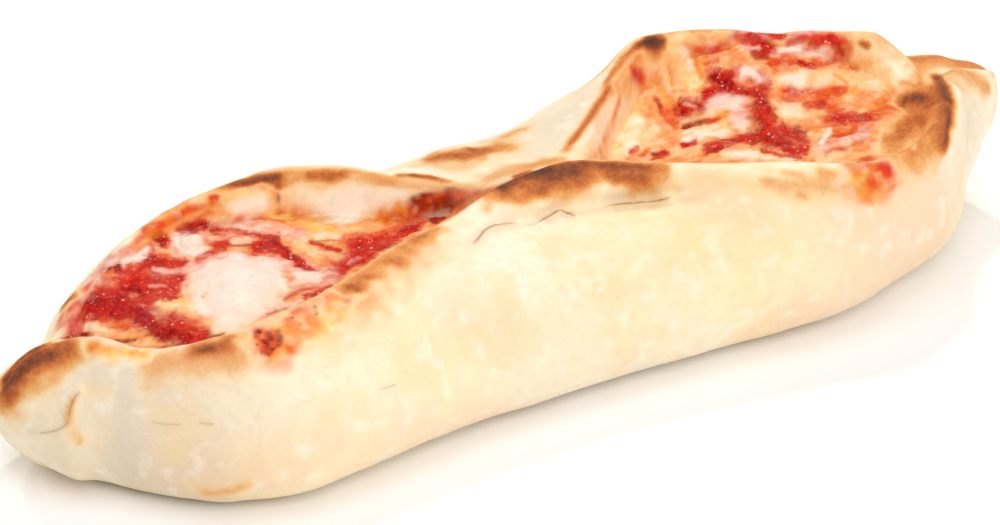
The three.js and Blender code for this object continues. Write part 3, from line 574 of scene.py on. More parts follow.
# Sauce, pulp and melted cheese, laid in the pixels of the view.
L = [  # left pocket: walls
    ("peach", 90, 1.0, [(80, 320), (200, 260), (300, 250), (400, 225)]),
    ("wall_pale", 12, 1.0, [(50, 310), (84, 260), (116, 238), (160, 212), (220, 192), (300, 190), (380, 192), (420, 196)]),
    ("salmon", 18, 0.95, [(76, 328), (96, 304), (120, 280), (148, 262), (176, 270), (160, 296), (130, 320)]),
    ("red", 10, 0.7, [(96, 312), (116, 290), (150, 270), (176, 272), (160, 290), (130, 308)]),
    ("cream", 6, 0.8, [(50, 332), (58, 314), (66, 302)]), ("salmon", 6, 0.6, [(62, 318), (66, 306), (74, 298)]), ("orange", 5, 0.6, [(60, 322), (66, 312), (72, 302)]),
    ("wall_pale", 7, 0.8, [(84, 280), (96, 260), (112, 246), (128, 238)]), ("pink", 7, 0.9, [(78, 300), (86, 286), (94, 272), (106, 260)]), ("salmon", 4, 0.7, [(74, 312), (82, 296)]),
    ("wall_oil", 12, 0.95, [(148, 224), (172, 212), (198, 203), (226, 196)]), ("peach", 6, 0.8, [(150, 234), (176, 220), (206, 212)]),
    ("orange", 5, 0.85, [(146, 229), (160, 222), (178, 217)]), ("orange", 4, 0.8, [(192, 208), (208, 202), (218, 198)]), ("red", 2.4, 0.7, [(211, 197), (217, 199)]), ("orange", 3, 0.6, [(196, 218), (210, 212)]),
    ("yellow", 9, 0.6, [(228, 196), (250, 190), (272, 190)]), ("wall_gold", 9, 0.8, [(232, 204), (262, 202)]), ("white_wall", 8, 0.9, [(238, 207), (252, 202), (264, 203)]),
    ("wall_oil", 6, 0.9, [(279, 184), (278, 200), (280, 214)]), ("orange", 3.4, 0.9, [(274, 213), (284, 210)]), ("rust", 2.4, 0.9, [(278, 181), (279, 188)]), ("rust", 1.6, 0.8, [(278, 193), (280, 203)]), ("yellow", 4, 0.7, [(270, 218), (290, 216)]),
    ("wall_gold", 12, 0.9, [(296, 190), (310, 186), (330, 184), (360, 184)]), ("wall_pale", 14, 0.9, [(312, 200), (340, 202), (366, 198)]),
    ("white_wall", 13, 1.0, [(326, 206), (348, 206), (362, 196)]), ("white_wall", 9, 0.9, [(340, 212), (356, 204)]),
    ("wall_oil", 7, 0.9, [(288, 220), (322, 226), (352, 228), (380, 220), (402, 210)]), ("yellow", 3.6, 0.7, [(300, 222), (322, 228), (344, 230)]), ("peach", 6, 0.7, [(345, 232), (375, 226), (396, 220)]),
    ("oil", 9, 0.95, [(384, 216), (398, 212), (412, 214)]), ("orange", 2.6, 0.6, [(380, 206), (398, 213), (416, 224)]), ("orange", 5, 0.6, [(388, 222), (404, 220)]),
    # mauve along the far rim: the soft shade line under its edge, painted in
    ("mauve", 3, 0.7, [(384, 184), (404, 187), (420, 188)]), ("wall_pale", 6, 0.9, [(384, 188), (402, 192), (416, 194)]),
    # the hollow under the rim lip at the pocket's right end: sauce colours, darkened to rust, maroon and deep red as
    # painted shade in the hollow
    ("rust", 8, 1.0, [(416, 200), (430, 196), (446, 191), (462, 187), (484, 187)]), ("rust", 11, 1.0, [(426, 208), (442, 204), (458, 198)]), ("orange", 8, 0.25, [(424, 204), (444, 200), (462, 192)]), ("orange", 6, 0.85, [(458, 194), (472, 189), (486, 187)]), ("orange", 3.4, 0.6, [(426, 199), (444, 193)]),
    ("maroon", 5, 0.8, [(432, 219), (441, 215), (450, 209)]), ("deep", 4, 0.8, [(434, 220), (444, 216)]), ("salmon", 4.5, 0.95, [(412, 212), (419, 214), (422, 220)]), ("pink", 2.6, 0.7, [(414, 208), (419, 213)]),
    # filling
    ("pink", 7, 0.95, [(190, 228), (230, 225), (262, 227), (302, 235)]), ("orange", 1.8, 0.8, [(232, 218), (256, 218), (284, 221)]), ("wall_gold", 3.5, 0.6, [(206, 220), (228, 220)]),
    ("red", 6.5, 1.0, [(182, 230), (192, 228), (203, 226)]), ("deep", 4, 0.8, [(184, 231), (196, 229)]),
    ("red", 4.2, 0.95, [(214, 230), (235, 231), (258, 235), (277, 239)]), ("salmon", 5, 0.7, [(224, 233), (252, 238)]),
    ("pink", 5, 0.95, [(204, 238), (230, 241), (250, 241)]), ("cream", 3, 0.7, [(232, 240), (252, 241)]),
    ("cheese", 9, 1.0, [(176, 243), (188, 246), (200, 250)]), ("cheese", 6, 0.9, [(178, 237), (198, 238)]), ("pink", 3, 0.7, [(170, 240), (180, 256)]),
    ("red", 5.5, 1.0, [(214, 246), (227, 244)]), ("red", 4, 0.95, [(198, 260), (208, 254), (222, 250)]), ("rust", 1.6, 0.8, [(230, 245), (242, 245), (253, 245)]),
    ("peach", 6, 0.95, [(290, 238), (304, 248), (318, 262)]), ("cream", 4, 0.8, [(296, 240), (312, 254)]), ("pink", 3, 0.6, [(284, 236), (296, 238)]),
    ("cream", 5, 0.95, [(314, 236), (328, 234), (342, 237)]), ("rust", 1.1, 0.5, [(312, 241), (326, 240), (340, 241)]),
    ("orange", 8, 0.8, [(326, 252), (336, 256)]), ("cream", 3.6, 0.7, [(314, 250), (330, 254), (340, 256)]), ("red", 2.8, 0.9, [(310, 242), (326, 246), (340, 250)]),
    ("salmon", 11, 0.95, [(340, 266), (352, 256), (368, 248)]), ("red", 10, 0.95, [(338, 270), (350, 260), (362, 254)]), ("deep", 3.5, 0.8, [(366, 246), (371, 248)]), ("red", 7, 1.0, [(334, 276), (342, 270)]),
    ("pink", 3, 0.45, [(348, 262), (358, 258)]),
    ("orange", 8, 0.95, [(348, 240), (370, 238), (395, 232), (415, 222)]), ("red", 7, 0.95, [(354, 246), (374, 244), (394, 238), (414, 227)]), ("deep", 3.5, 0.7, [(376, 248), (388, 243)]), ("maroon", 1.6, 0.8, [(387, 234)]),
    ("pink", 12, 0.9, [(190, 270), (230, 262), (280, 262), (330, 276)]), ("cheese", 22, 1.0, [(206, 290), (234, 282), (262, 280)]), ("cheese", 18, 1.0, [(220, 306), (244, 302), (266, 296)]), ("cheese", 13, 1.0, [(212, 272), (240, 266), (270, 269)]),
    ("cheese", 12, 1.0, [(224, 318), (242, 314), (258, 308)]), ("cheese", 8, 1.0, [(198, 300), (206, 312)]), ("cheese", 8, 0.9, [(274, 278), (282, 286)]),
    ("red", 7, 1.0, [(256, 247), (270, 246), (284, 252)]), ("red", 5.5, 1.0, [(284, 253), (298, 262)]), ("red", 3.4, 1.0, [(298, 262), (308, 268), (318, 273)]), ("deep", 3.2, 0.8, [(274, 243), (290, 255), (302, 264)]),
    ("pink", 8, 0.9, [(296, 284), (312, 282), (328, 280)]), ("cheese", 6, 0.9, [(298, 276), (318, 276)]), ("salmon", 2.8, 0.9, [(286, 297), (304, 290), (320, 289)]), ("red", 3, 0.95, [(304, 298), (318, 294), (330, 287)]),
    ("pink", 4.5, 0.9, [(272, 310), (288, 306), (300, 302)]), ("salmon", 2, 0.8, [(268, 314), (286, 308)]),
    ("cream", 7, 0.9, [(212, 332), (232, 331), (254, 325)]), ("peach", 4, 0.8, [(214, 338), (240, 334), (264, 326), (290, 314)]), ("cheese", 6, 0.7, [(216, 324), (232, 326)]),
    ("yellow", 3, 0.8, [(202, 297), (206, 294)]), ("oil", 1.6, 0.7, [(203, 297)]), ("yellow", 2, 0.5, [(190, 273)]), ("cream", 4, 0.6, [(186, 300), (192, 308)]),
    ("red", 7, 1.0, [(150, 230), (158, 237), (162, 241)]), ("deep", 5, 0.9, [(154, 238), (162, 242)]),
    ("pink", 7, 0.95, [(118, 264), (132, 258), (143, 254)]), ("cheese", 4.5, 0.85, [(122, 263), (136, 257), (146, 250)]), ("orange", 4, 0.6, [(150, 252), (164, 254)]),
    ("deep", 7, 0.95, [(103, 266), (111, 260), (117, 267)]), ("salmon", 5, 0.8, [(122, 274), (134, 270)]),
    ("red", 7, 1.0, [(146, 263), (164, 261), (182, 264)]), ("deep", 3.5, 0.7, [(150, 258), (162, 262)]), ("pink", 3, 0.85, [(154, 269), (170, 271), (184, 272)]),
    ("salmon", 4, 0.8, [(148, 276), (166, 276)]), ("red", 4.5, 0.95, [(146, 280), (166, 279), (178, 280)]),
    ("red", 10, 1.0, [(124, 284), (142, 284), (160, 290), (172, 291)]), ("deep", 8, 0.9, [(122, 290), (136, 288), (148, 294)]), ("red", 6, 1.0, [(150, 301), (166, 298), (178, 291)]), ("pink", 2.2, 0.7, [(150, 285), (166, 286)]),
    ("red", 10, 0.95, [(98, 294), (112, 294), (120, 302)]), ("deep", 12, 1.0, [(92, 306), (104, 312), (114, 316)]), ("deep", 10, 1.0, [(118, 306), (130, 312), (140, 316)]), ("pink", 4, 0.6, [(90, 284), (96, 280)]),
    ("red", 6, 0.95, [(64, 332), (72, 326), (78, 318)]), ("deep", 7, 0.95, [(66, 339), (76, 337), (86, 337)]),
    ("cream", 7, 0.95, [(90, 327), (104, 330), (120, 334)]), ("peach", 5, 0.9, [(96, 338), (114, 336), (134, 334)]), ("orange", 6, 0.85, [(104, 322), (116, 327), (128, 324)]),
    ("rust", 3, 0.85, [(110, 343), (122, 341), (136, 341)]), ("oil", 2.4, 0.8, [(98, 343), (108, 342)]),
    ("cream", 5.5, 0.95, [(160, 305), (178, 307), (196, 310)]), ("yellow", 2.5, 0.6, [(172, 303), (182, 302)]),
    ("deep", 8, 1.0, [(138, 312), (148, 321)]), ("deep", 14, 1.0, [(160, 329), (174, 334), (188, 339)]), ("red", 9, 0.95, [(172, 321), (188, 325), (201, 334)]), ("deep", 7, 0.9, [(152, 323), (166, 340)]), ("orange", 4, 0.7, [(190, 321), (202, 328)]),
    ("rust", 3.2, 0.8, [(206, 338), (214, 336), (222, 334)]),
]
R = [  # right pocket: walls
    ("peach", 120, 1.0, [(640, 120), (720, 90), (800, 100), (880, 100)]),
    ("wall_pale", 12, 0.95, [(572, 152), (590, 128), (606, 102)]), ("wall_gold", 6, 0.7, [(590, 148), (606, 122), (614, 100)]),
    ("wall_oil", 5, 0.9, [(600, 150), (607, 134), (615, 116), (622, 101)]), ("orange", 3, 0.9, [(599, 152), (606, 134), (614, 116), (621, 102)]),
    ("peach", 13, 0.95, [(618, 148), (630, 124), (642, 102)]), ("wall_gold", 7, 0.8, [(638, 142), (650, 128)]), ("cream", 6, 0.9, [(644, 140), (652, 132)]),
    ("wall_oil", 9, 0.95, [(612, 94), (620, 78), (630, 64), (644, 56)]), ("wall_gold", 4, 0.8, [(618, 88), (624, 74)]), ("orange", 6, 0.95, [(631, 78), (640, 72)]), ("red", 4, 0.95, [(637, 75), (644, 80)]),
    ("oil", 7, 0.95, [(654, 58), (660, 76), (666, 94), (672, 112)]), ("yellow", 4, 0.9, [(664, 60), (668, 84)]), ("orange", 4.5, 0.9, [(656, 98), (661, 112)]), ("rust", 2.2, 0.7, [(657, 100), (660, 107)]), ("orange", 7, 0.95, [(666, 112), (676, 124)]), ("wall_pale", 8, 0.95, [(604, 140), (611, 120), (620, 100)]), ("wall_gold", 8, 0.95, [(616, 150), (624, 130), (634, 108)]), ("wall_pale", 7, 0.9, [(628, 146), (638, 122)]), ("wall_oil", 3.6, 0.9, [(601, 152), (607, 134), (615, 116), (621, 102)]),
    ("wall_gold", 8, 0.95, [(674, 42), (682, 62), (692, 82)]), ("cream", 5, 0.9, [(684, 48), (690, 70)]), ("oil", 2.5, 0.8, [(696, 58), (700, 80)]), ("pink", 3, 0.7, [(664, 82), (670, 90)]),
    ("wall_gold", 6, 0.9, [(684, 36), (712, 38)]), ("orange", 6, 0.95, [(699, 50), (714, 48), (727, 46)]), ("orange", 4, 0.8, [(704, 64), (716, 60)]),
    ("red", 10, 1.0, [(742, 36), (756, 42), (770, 50)]), ("salmon", 7, 0.8, [(738, 38), (752, 34), (768, 34)]), ("pink", 4, 0.85, [(744, 50), (758, 48)]), ("deep", 6, 0.9, [(756, 54), (768, 58)]), ("red", 6, 1.0, [(774, 34), (784, 34)]),
    ("pink", 6, 0.95, [(774, 55), (790, 52), (806, 50), (834, 50)]), ("cheese", 3.4, 0.85, [(780, 51), (800, 47)]), ("salmon", 4, 0.8, [(790, 42), (804, 40)]), ("red", 7, 1.0, [(806, 37), (822, 38)]),
    ("red", 8, 1.0, [(834, 39), (842, 46), (842, 57)]), ("pink", 3.6, 0.9, [(798, 31), (816, 30)]), ("deep", 4, 0.85, [(838, 42), (846, 50)]),
    ("orange", 9, 0.9, [(776, 67), (796, 65), (818, 67)]), ("red", 4.5, 0.95, [(800, 66), (816, 68)]), ("salmon", 4, 0.8, [(826, 62), (838, 60)]),
    ("wall_gold", 12, 0.95, [(860, 48), (878, 64), (892, 80)]), ("wall_pale", 9, 0.95, [(872, 48), (890, 62), (902, 76)]), ("orange", 2.5, 0.8, [(852, 65), (858, 69)]),
    # filling
    ("cream", 13, 0.8, [(820, 78), (850, 81), (876, 86)]), ("oil", 6, 0.6, [(820, 88), (850, 92), (870, 96)]), ("orange", 5, 0.85, [(806, 90), (826, 93), (846, 89)]), ("peach", 8, 0.8, [(850, 97), (874, 99)]), ("oil", 4, 0.8, [(856, 90), (866, 100)]), ("oil", 3, 0.7, [(836, 76), (846, 82)]),
    ("cream", 10, 0.95, [(782, 79), (800, 81)]), ("cheese", 5, 0.8, [(788, 77), (800, 83)]),
    ("orange", 10, 0.9, [(786, 98), (806, 97), (828, 101)]), ("red", 4, 0.8, [(808, 106), (824, 104)]), ("salmon", 5, 0.7, [(790, 92), (802, 94)]),
    ("cream", 9, 0.95, [(782, 111), (798, 113)]), ("cheese", 5, 0.8, [(786, 112), (796, 114)]),
    ("orange", 11, 0.8, [(832, 118), (858, 120), (886, 112)]), ("salmon", 8, 0.9, [(836, 116), (858, 120), (886, 111)]), ("red", 5, 0.7, [(832, 121), (852, 121), (872, 118)]),
    ("orange", 5, 0.95, [(832, 134), (846, 136), (858, 132)]), ("pink", 4.5, 0.95, [(818, 148), (836, 144), (854, 140), (868, 132)]), ("cheese", 3.2, 0.9, [(822, 143), (830, 130)]), ("salmon", 3, 0.8, [(826, 153), (846, 149), (862, 144)]),
    ("peach", 8, 0.85, [(846, 157), (864, 149), (882, 138)]), ("cream", 5, 0.8, [(820, 158), (840, 156)]), ("orange", 6, 0.7, [(862, 160), (880, 158)]),
    ("red", 10, 1.0, [(712, 78), (730, 76), (732, 90), (712, 94)]), ("deep", 7, 0.9, [(714, 80), (728, 80), (722, 92)]), ("red", 6, 1.0, [(704, 95), (733, 93)]),
    ("pink", 8, 0.95, [(740, 72), (752, 76), (762, 80)]), ("cheese", 5, 0.9, [(744, 72), (754, 78)]),
    ("red", 9, 1.0, [(742, 90), (756, 92), (768, 92)]), ("deep", 5, 0.9, [(748, 92), (764, 96)]),
    ("salmon", 7, 0.8, [(744, 104), (750, 116)]), ("deep", 10, 1.0, [(760, 104), (764, 116), (766, 128)]), ("red", 7, 0.9, [(756, 112), (768, 120)]),
    ("deep", 10, 1.0, [(756, 136), (772, 140), (786, 146)]), ("red", 10, 1.0, [(770, 132), (786, 134), (802, 138)]), ("red", 7, 1.0, [(790, 150), (806, 147)]), ("rust", 3.5, 0.8, [(796, 130), (806, 134)]),
    ("cheese", 9, 0.85, [(712, 106), (726, 102), (738, 102)]), ("cheese", 8, 0.75, [(736, 112), (744, 124)]), ("pink", 5, 0.6, [(730, 108), (742, 116)]), ("peach", 3, 0.5, [(716, 112), (728, 110)]), ("cream", 6, 0.9, [(700, 112), (714, 114)]), ("oil", 4, 0.8, [(716, 118), (728, 112)]),
    ("red", 9, 1.0, [(680, 106), (690, 108), (698, 106)]), ("salmon", 4, 0.8, [(682, 100), (692, 102)]), ("pink", 2.2, 0.7, [(684, 104), (694, 106)]),
    ("cream", 6, 0.9, [(704, 128), (724, 124)]), ("rust", 3.2, 0.95, [(684, 127), (698, 124), (712, 120)]), ("orange", 3, 0.9, [(706, 122), (720, 117)]), ("maroon", 2.2, 0.9, [(684, 128), (690, 127)]),
    ("cream", 7, 0.95, [(684, 137), (706, 133), (728, 131)]), ("cheese", 4.5, 0.9, [(698, 134), (724, 132)]), ("cheese", 3.5, 0.8, [(684, 142), (700, 139)]), ("peach", 5, 0.7, [(668, 138), (680, 134)]),
    ("red", 5, 1.0, [(704, 149), (718, 144), (736, 139), (750, 136)]), ("deep", 4, 0.9, [(708, 153), (720, 148)]), ("red", 3.4, 1.0, [(682, 146), (694, 144)]), ("red", 4, 1.0, [(632, 152), (637, 149)]), ("red", 5, 1.0, [(654, 156), (664, 155)]),
    ("orange", 4, 0.7, [(642, 154), (648, 150)]), ("cream", 5, 0.9, [(724, 155), (744, 152), (766, 156), (790, 159)]), ("cheese", 3.4, 0.9, [(736, 152), (756, 154)]), ("red", 2.5, 0.8, [(762, 150), (780, 156), (800, 157)]),
    ("oil", 9, 0.7, [(872, 108), (896, 112), (908, 100)]), ("tan", 11, 1.0, [(888, 152), (902, 136), (914, 118), (922, 100)]), ("golden", 8, 1.0, [(896, 144), (908, 128), (920, 106)]), ("brown", 4.5, 0.8, [(902, 101), (922, 98)]), ("brown", 4, 0.6, [(884, 138), (898, 136)]), ("brown", 4, 0.6, [(900, 128), (910, 130)]),
]


def surface_state(P, strokes, seed):
    uv = project(P)
    F = P * np.array([0.75, 1.15, 1.0])
    w1 = np.stack([fbm(F, 4.5, 2, seed + k) for k in range(2)], -1)
    w2 = np.stack([fbm(F, 1.2, 3, seed + 7 + k, 0.6) for k in range(2)], -1)
    vary, gate = fbm(F, 2.4, 3, seed + 14, 0.6), fbm(F, 1.9, 3, seed + 19, 0.6)
    state = fresh(len(P))
    state[0][:] = rich(WET["peach"][0])
    for name, field, lo, hi, amount in (("cream", fbm(F, 5, 3, seed + 23), 0.0, 0.5, 0.8), ("orange", fbm(F, 4, 3, seed + 27), 0.15, 0.6, 0.7),
                                        ("salmon", fbm(F, 3.2, 3, seed + 31), 0.25, 0.6, 0.7)):
        m = amount * step(lo, hi, field)
        state[0] += (rich(WET[name][0]) - state[0]) * m[:, None]
    for k, v in ((2, 0.6), (3, 0.15), (4, 0.5)):
        state[k][:] = v
    lay(uv, state, strokes, 0.16 * w1 + 0.10 * w2, vary, gate, shake=2.0 * w1 + 1.1 * w2)
    # thin veins: oil and sauce through the cheese, pale film over the pulp
    vein = np.exp(-(fbm(F, 3.0, 3, seed + 35) / 0.07) ** 2)
    a = 0.10 * vein * np.clip(state[4], 0, 1)
    state[0] += (lin((226, 110, 60)) - state[0]) * a[:, None]
    vein = np.exp(-(fbm(F, 2.6, 3, seed + 39) / 0.09) ** 2)
    a = 0.08 * vein * np.clip(state[3], 0, 1)
    state[0] += (lin((236, 132, 104)) - state[0]) * a[:, None]
    # painted shade: dark red in the crevices between the pulp's lumps (the cells that raise them in pulp_height);
    # painted light: brighter orange-red on the lumps' tops
    d1, d2, _ = cells(P, 3.0, seed + 40); e1, e2, _ = cells(P, 1.25, seed + 50)
    pulp = np.clip(state[3], 0, 1)
    a = pulp * (0.38 * (1 - step(0.0, 0.26, d2 - d1)) + 0.22 * (1 - step(0.0, 0.30, e2 - e1)))
    state[0] += (lin((122, 4, 2)) - state[0]) * a[:, None]
    a = 0.35 * pulp * (1 - step(0.1, 0.45, e1)) * (1 - step(0.3, 0.6, d1))
    state[0] += (lin((230, 50, 18)) - state[0]) * a[:, None]
    return state


warp_c = np.stack([fbm(BASE.reshape(-1, 3), 6.0, 2, 11 + k) for k in range(3)], -1)
warp_f = np.stack([fbm(BASE.reshape(-1, 3), 3.0, 1, 21 + k) for k in range(3)], -1)
N0 = grid_normals(BASE, True)
P0 = BASE.reshape(-1, 3)

crust = fresh(nx * ns)
crust[0] += (lin(DOUGH["warm"]) - crust[0]) * (0.5 * step(-0.2, 0.8, fbm(P0, 38, 3, 31)))[:, None]
crust[0] += (lin(DOUGH["white"]) - crust[0]) * (0.5 * step(0.1, 0.9, fbm(P0, 22, 3, 41)))[:, None]
# The inner walls are painted with the pocket they belong to.
X0, Y0, Z0 = P0.T
left_in = step(-128, -121, X0) * (1 - step(-8, -2, X0)); right_in = step(12, 18, X0) * (1 - step(112, 120, X0))
edge = np.where(X0 < 6, 1.2, 2.4) * warp_c[:, 1]
over = 5.0 * (1 - step(-80, -58, X0)) + 6.5 * step(54, 66, X0) * (1 - step(92, 104, X0))
within = step(-1.0, 1.5, Y0 - rim_near_y(X0)) * step(-1.2, 1.2, rim_far_y(X0) + 0.3 + over + 0.4 * edge - Y0) * step(20, 24, Z0)
for strokes, field, part in ((L, 100, left_in), (R, 200, right_in)):
    weight = within * part
    q = np.nonzero(weight > 0)[0]
    film = surface_state(P0[q], strokes, field)
    crust[0][q] += (film[0] - crust[0][q]) * weight[q][:, None]
    for n in range(1, 6):
        crust[n][q] += (film[n] - crust[n][q]) * weight[q]
grit_c = fbm(P0, 2.8, 2, 91)
wobble, holes = 0.34 * warp_c + 0.22 * warp_f, fbm(P0, 2.6, 1, 95)
lay(P0, crust, S, wobble, grit_c, holes, soak=True)
# the right end: the corner's fold stands over a pale face beside it, untoasted and painted a little greyer as shade
d, share, past = signed_line(P0, smooth_line(on((945, 80), (950, 92), (952, 106), (951, 124), (948, 140), (943, 156))))
turn = (np.array(on((975, 110)))[0] - np.array(on((950, 110)))[0]) @ np.cross(BACK, np.array(on((947, 142)))[0] - np.array(on((946, 84)))[0])
beside = step(-0.3, 1.6, d if turn > 0 else -d)
ends = step(0.0, 0.2, share) * step(0.0, 0.3, 1 - share) * (1 - step(0.0, 5.0, past))
bare = 0.95 * beside * (1 - step(10.0, 16.0, np.abs(d))) * (1 - step(2.0, 7.0, past)) * step(70, 95, X0)
crust[1] *= 1 - bare
crust[0] += (lin((240, 222, 196)) - crust[0]) * (0.8 * bare)[:, None]
corner = (beside, ends, d)
lay(P0, crust, TIPS, wobble, grit_c, holes, soak=True)

# relief of the dough
relief = 0.55 * fbm(P0, 26, 2, 51) + 0.22 * fbm(P0, 9, 2, 61) + 0.05 * fbm(P0, 2.6, 2, 71)
relief += 0.16 * crust[1] * fbm(P0, 4.0, 2, 81)
bulk = 1 - step(0.0, 1.0, (6.0 - P0[:, 2]) / 6.0)      # the resting face stays flat
pulpy = np.nonzero(crust[3] > 0.05)[0]
d1, _, _ = cells(P0[pulpy], 3.0, 240)
relief[pulpy] += crust[3][pulpy] * (0.9 - d1) * 1.1
relief *= 0.15 + 0.85 * bulk
DENTS = [  # (groove width mm, depth mm, swelling beside it mm (above, below), its width mm, points)
    (1.1, 1.1, 0.6, 0.0, 3.8, on((471, 249), (474, 244), (478, 240), (484, 232), (495, 226.5), (507, 225), (519, 225))),
    (1.0, 1.0, 0.9, 0.0, 3.2, on((539, 223), (545, 219), (551, 216), (558, 211.5))), (0.6, 0.9, 0.2, 0.2, 1.5, on((558, 211.5), (566, 213), (577, 217.5))),
    (1.1, 1.3, 1.2, 0.0, 3.8, on((609, 207), (629, 204.4), (655, 202.7), (671, 198))),
    (1.2, 0.9, 0.9, 0.4, 5.0, on((83, 391), (76.5, 397), (72, 406), (71, 416), (67, 423), (59, 427.6), (48, 430), (38, 432))),
    (4.5, 1.6, 0.0, 0.0, 3.0, on((76.5, 397), (71, 410), (71, 416), (60, 428))),
    (0.7, 0.5, 0.2, 0.1, 2.0, on((61, 430), (67, 442))),
    (0.4, 0.3, 0.1, 0.0, 1.2, on((198, 422), (207, 424), (215, 424))), (0.4, 0.25, 0.1, 0.0, 1.2, on((150, 420), (166, 424), (184, 424))),
    (0.35, 0.25, 0.0, 0.0, 1.0, on((262, 420), (262, 440), (263, 455))), (0.4, 0.3, 0.1, 0.0, 1.2, on((378, 389), (390, 387), (398, 383))),
    (0.8, 0.7, 0.0, 0.2, 2.2, on((488, 190), (510, 180.5), (530, 172.5))),
]
for w, depth, above, below, wide, pts in DENTS:
    Q = P0 + 0.08 * warp_f
    A, B = to_lines(smooth_line(pts, 3))
    d = np.full(len(Q), 1e9); side = np.zeros(len(Q))
    for a, b in zip(A, B):
        ab = b - a; t = np.clip(((Q - a) @ ab) / float(ab @ ab), 0, 1)
        off = Q - a - t[:, None] * ab; e = np.sqrt((off ** 2).sum(-1))
        near = e < d
        d = np.where(near, e, d); side = np.where(near, off @ UP, side)
    relief -= depth * np.exp(-(d / w) ** 2)
    relief += np.where(side > 0, above, below) * np.exp(-(d / wide) ** 2)
# fold lines, drawn in the dough material as painted shade
LINES = [  # (half width mm, strength, points)
    (0.42, 0.7, on((471, 249), (474, 244), (478, 240), (484, 232), (489, 229), (495, 226.5), (507, 225), (519, 225))),
    (0.42, 0.8, on((539, 223), (545, 219), (551, 216), (558, 211.5), (566, 213), (577, 217.5))),
    (0.48, 1.0, on((606, 208), (614, 206), (629, 204.6), (642, 203.6), (655, 202.7), (664, 201), (671, 198))),
    (0.18, 0.5, on((83, 391), (76.5, 397), (72, 406), (71, 416))), (0.18, 0.42, on((71, 415), (67, 422), (59, 427), (48, 430), (40, 432))),
    (0.2, 0.3, on((198, 422), (207, 424), (215, 424))), (0.2, 0.25, on((150, 420), (166, 424), (184, 424))),
    (0.2, 0.3, on((378, 389), (390, 387), (398, 383))),
]
crease = np.full(len(P0), 9.0); crease_dark = np.zeros(len(P0))
for w, strength, pts in LINES:
    d, share, past = signed_line(P0 + 0.05 * warp_f, smooth_line(pts))
    near = np.abs(d) / w < np.abs(crease)
    fade = strength * step(0.0, 0.14, share) * step(0.0, 0.14, 1 - share) * (1 - step(0.0, 0.8, past)) * (1 - step(5.0, 8.0, np.abs(d) / w))
    crease = np.where(near, d / w, crease); crease_dark = np.where(near, fade, crease_dark)
beside, ends, d = corner
relief -= 1.7 * beside * np.exp(-(d / 11.0) ** 2) * ends
# the valley between the left tip and the loaf
d = line_distance(P0, on((97, 354), (95, 380), (92, 405), (88, 430), (84, 455), (80, 472)))
relief -= 1.5 * np.exp(-(d / 6.0) ** 2) * bulk
N_soft = smooth_rows(N0, 30, True)
N_soft /= np.linalg.norm(N_soft, axis=-1, keepdims=True) + 1e-9
P = BASE + relief.reshape(nx, ns)[..., None] * N_soft
sag = np.exp(-((P[..., 0] + 110) / 8.5) ** 2) * np.exp(-((P[..., 1] - rim_near_y(P[..., 0])) / 7.0) ** 2) * step(24, 32, P[..., 2])
P[..., 2] -= 1.5 * sag
P[..., 2] -= 1.1 * step(120, 134, P[..., 0]) * step(27, 35, P[..., 2])
P[..., 0] = np.where(P[..., 0] > 125, 125 + (P[..., 0] - 125) * 0.87, P[..., 0])
fill_in = (1 - step(-122, -115, P[..., 0])) * step(-141, -135, P[..., 0]) * step(26, 30, P[..., 2]) * np.exp(-((P[..., 1] - 0.5 * (rim_near_y(P[..., 0]) + rim_far_y(P[..., 0])) - 0.5) / 4.6) ** 2)
P[..., 2] += 1.5 * fill_in
P[..., 2] -= 1.9 * (1 - step(-122, -115, P[..., 0])) * step(24, 30, P[..., 2]) * step(0.5, 4.5, P[..., 1] - 0.5 * (rim_near_y(P[..., 0]) + rim_far_y(P[..., 0])))
P[..., 2] = np.maximum(P[..., 2], 0.0)

verts = np.concatenate([P.reshape(-1, 3), [[LEFT_TIP, tip_y(LEFT_TIP), tip_z(LEFT_TIP)], [125 + (RIGHT_TIP - 125) * 0.87, tip_y(RIGHT_TIP), tip_z(RIGHT_TIP)]]])
I, J = np.meshgrid(np.arange(nx - 1), np.arange(ns), indexing="ij")
J1 = (J + 1) % ns
quads = np.stack([I * ns + J, (I + 1) * ns + J, (I + 1) * ns + J1, I * ns + J1], -1).reshape(-1, 4)
j = np.arange(ns); j1 = (j + 1) % ns
tris = np.concatenate([np.stack([np.full(ns, nx * ns), j, j1], -1),
                       np.stack([np.full(ns, nx * ns + 1), (nx - 1) * ns + j1, (nx - 1) * ns + j], -1)])
for k in range(6):
    first, last = crust[k][:1], crust[k][-ns:][:1]
    crust[k] = np.concatenate([crust[k], first, last])
crust_ob = make_mesh("crust_baked", verts, quads, tris, crust, crease=np.append(crease, [9.0, 9.0]), crease_dark=np.append(crease_dark, [0.0, 0.0]))

# ---------------------------------------------------------------------------
# Fillings: wet sauce, pulp and melted cheese, laid in the view's own pixels.
# ---------------------------------------------------------------------------
dough_tree = BVHTree.FromObject(crust_ob, bpy.context.evaluated_depsgraph_get())


def wall_height(P):
    """Height of the dough straight above or below each point, in mm."""
    out = np.full(len(P), -50.0)
    down = Vector((0, 0, -1))
    Q = (P - MIDDLE) * MM
    for i, (x, y, _) in enumerate(Q):
        hit = dough_tree.ray_cast(Vector((x, y, 0.2)), down)
        if hit[0] is not None:
            out[i] = hit[0].z / MM + MIDDLE[2]
    return out


def smooth_max(a, b, k):
    h = np.maximum(k - np.abs(a - b), 0) / k
    return np.maximum(a, b) + h * h * k * 0.25


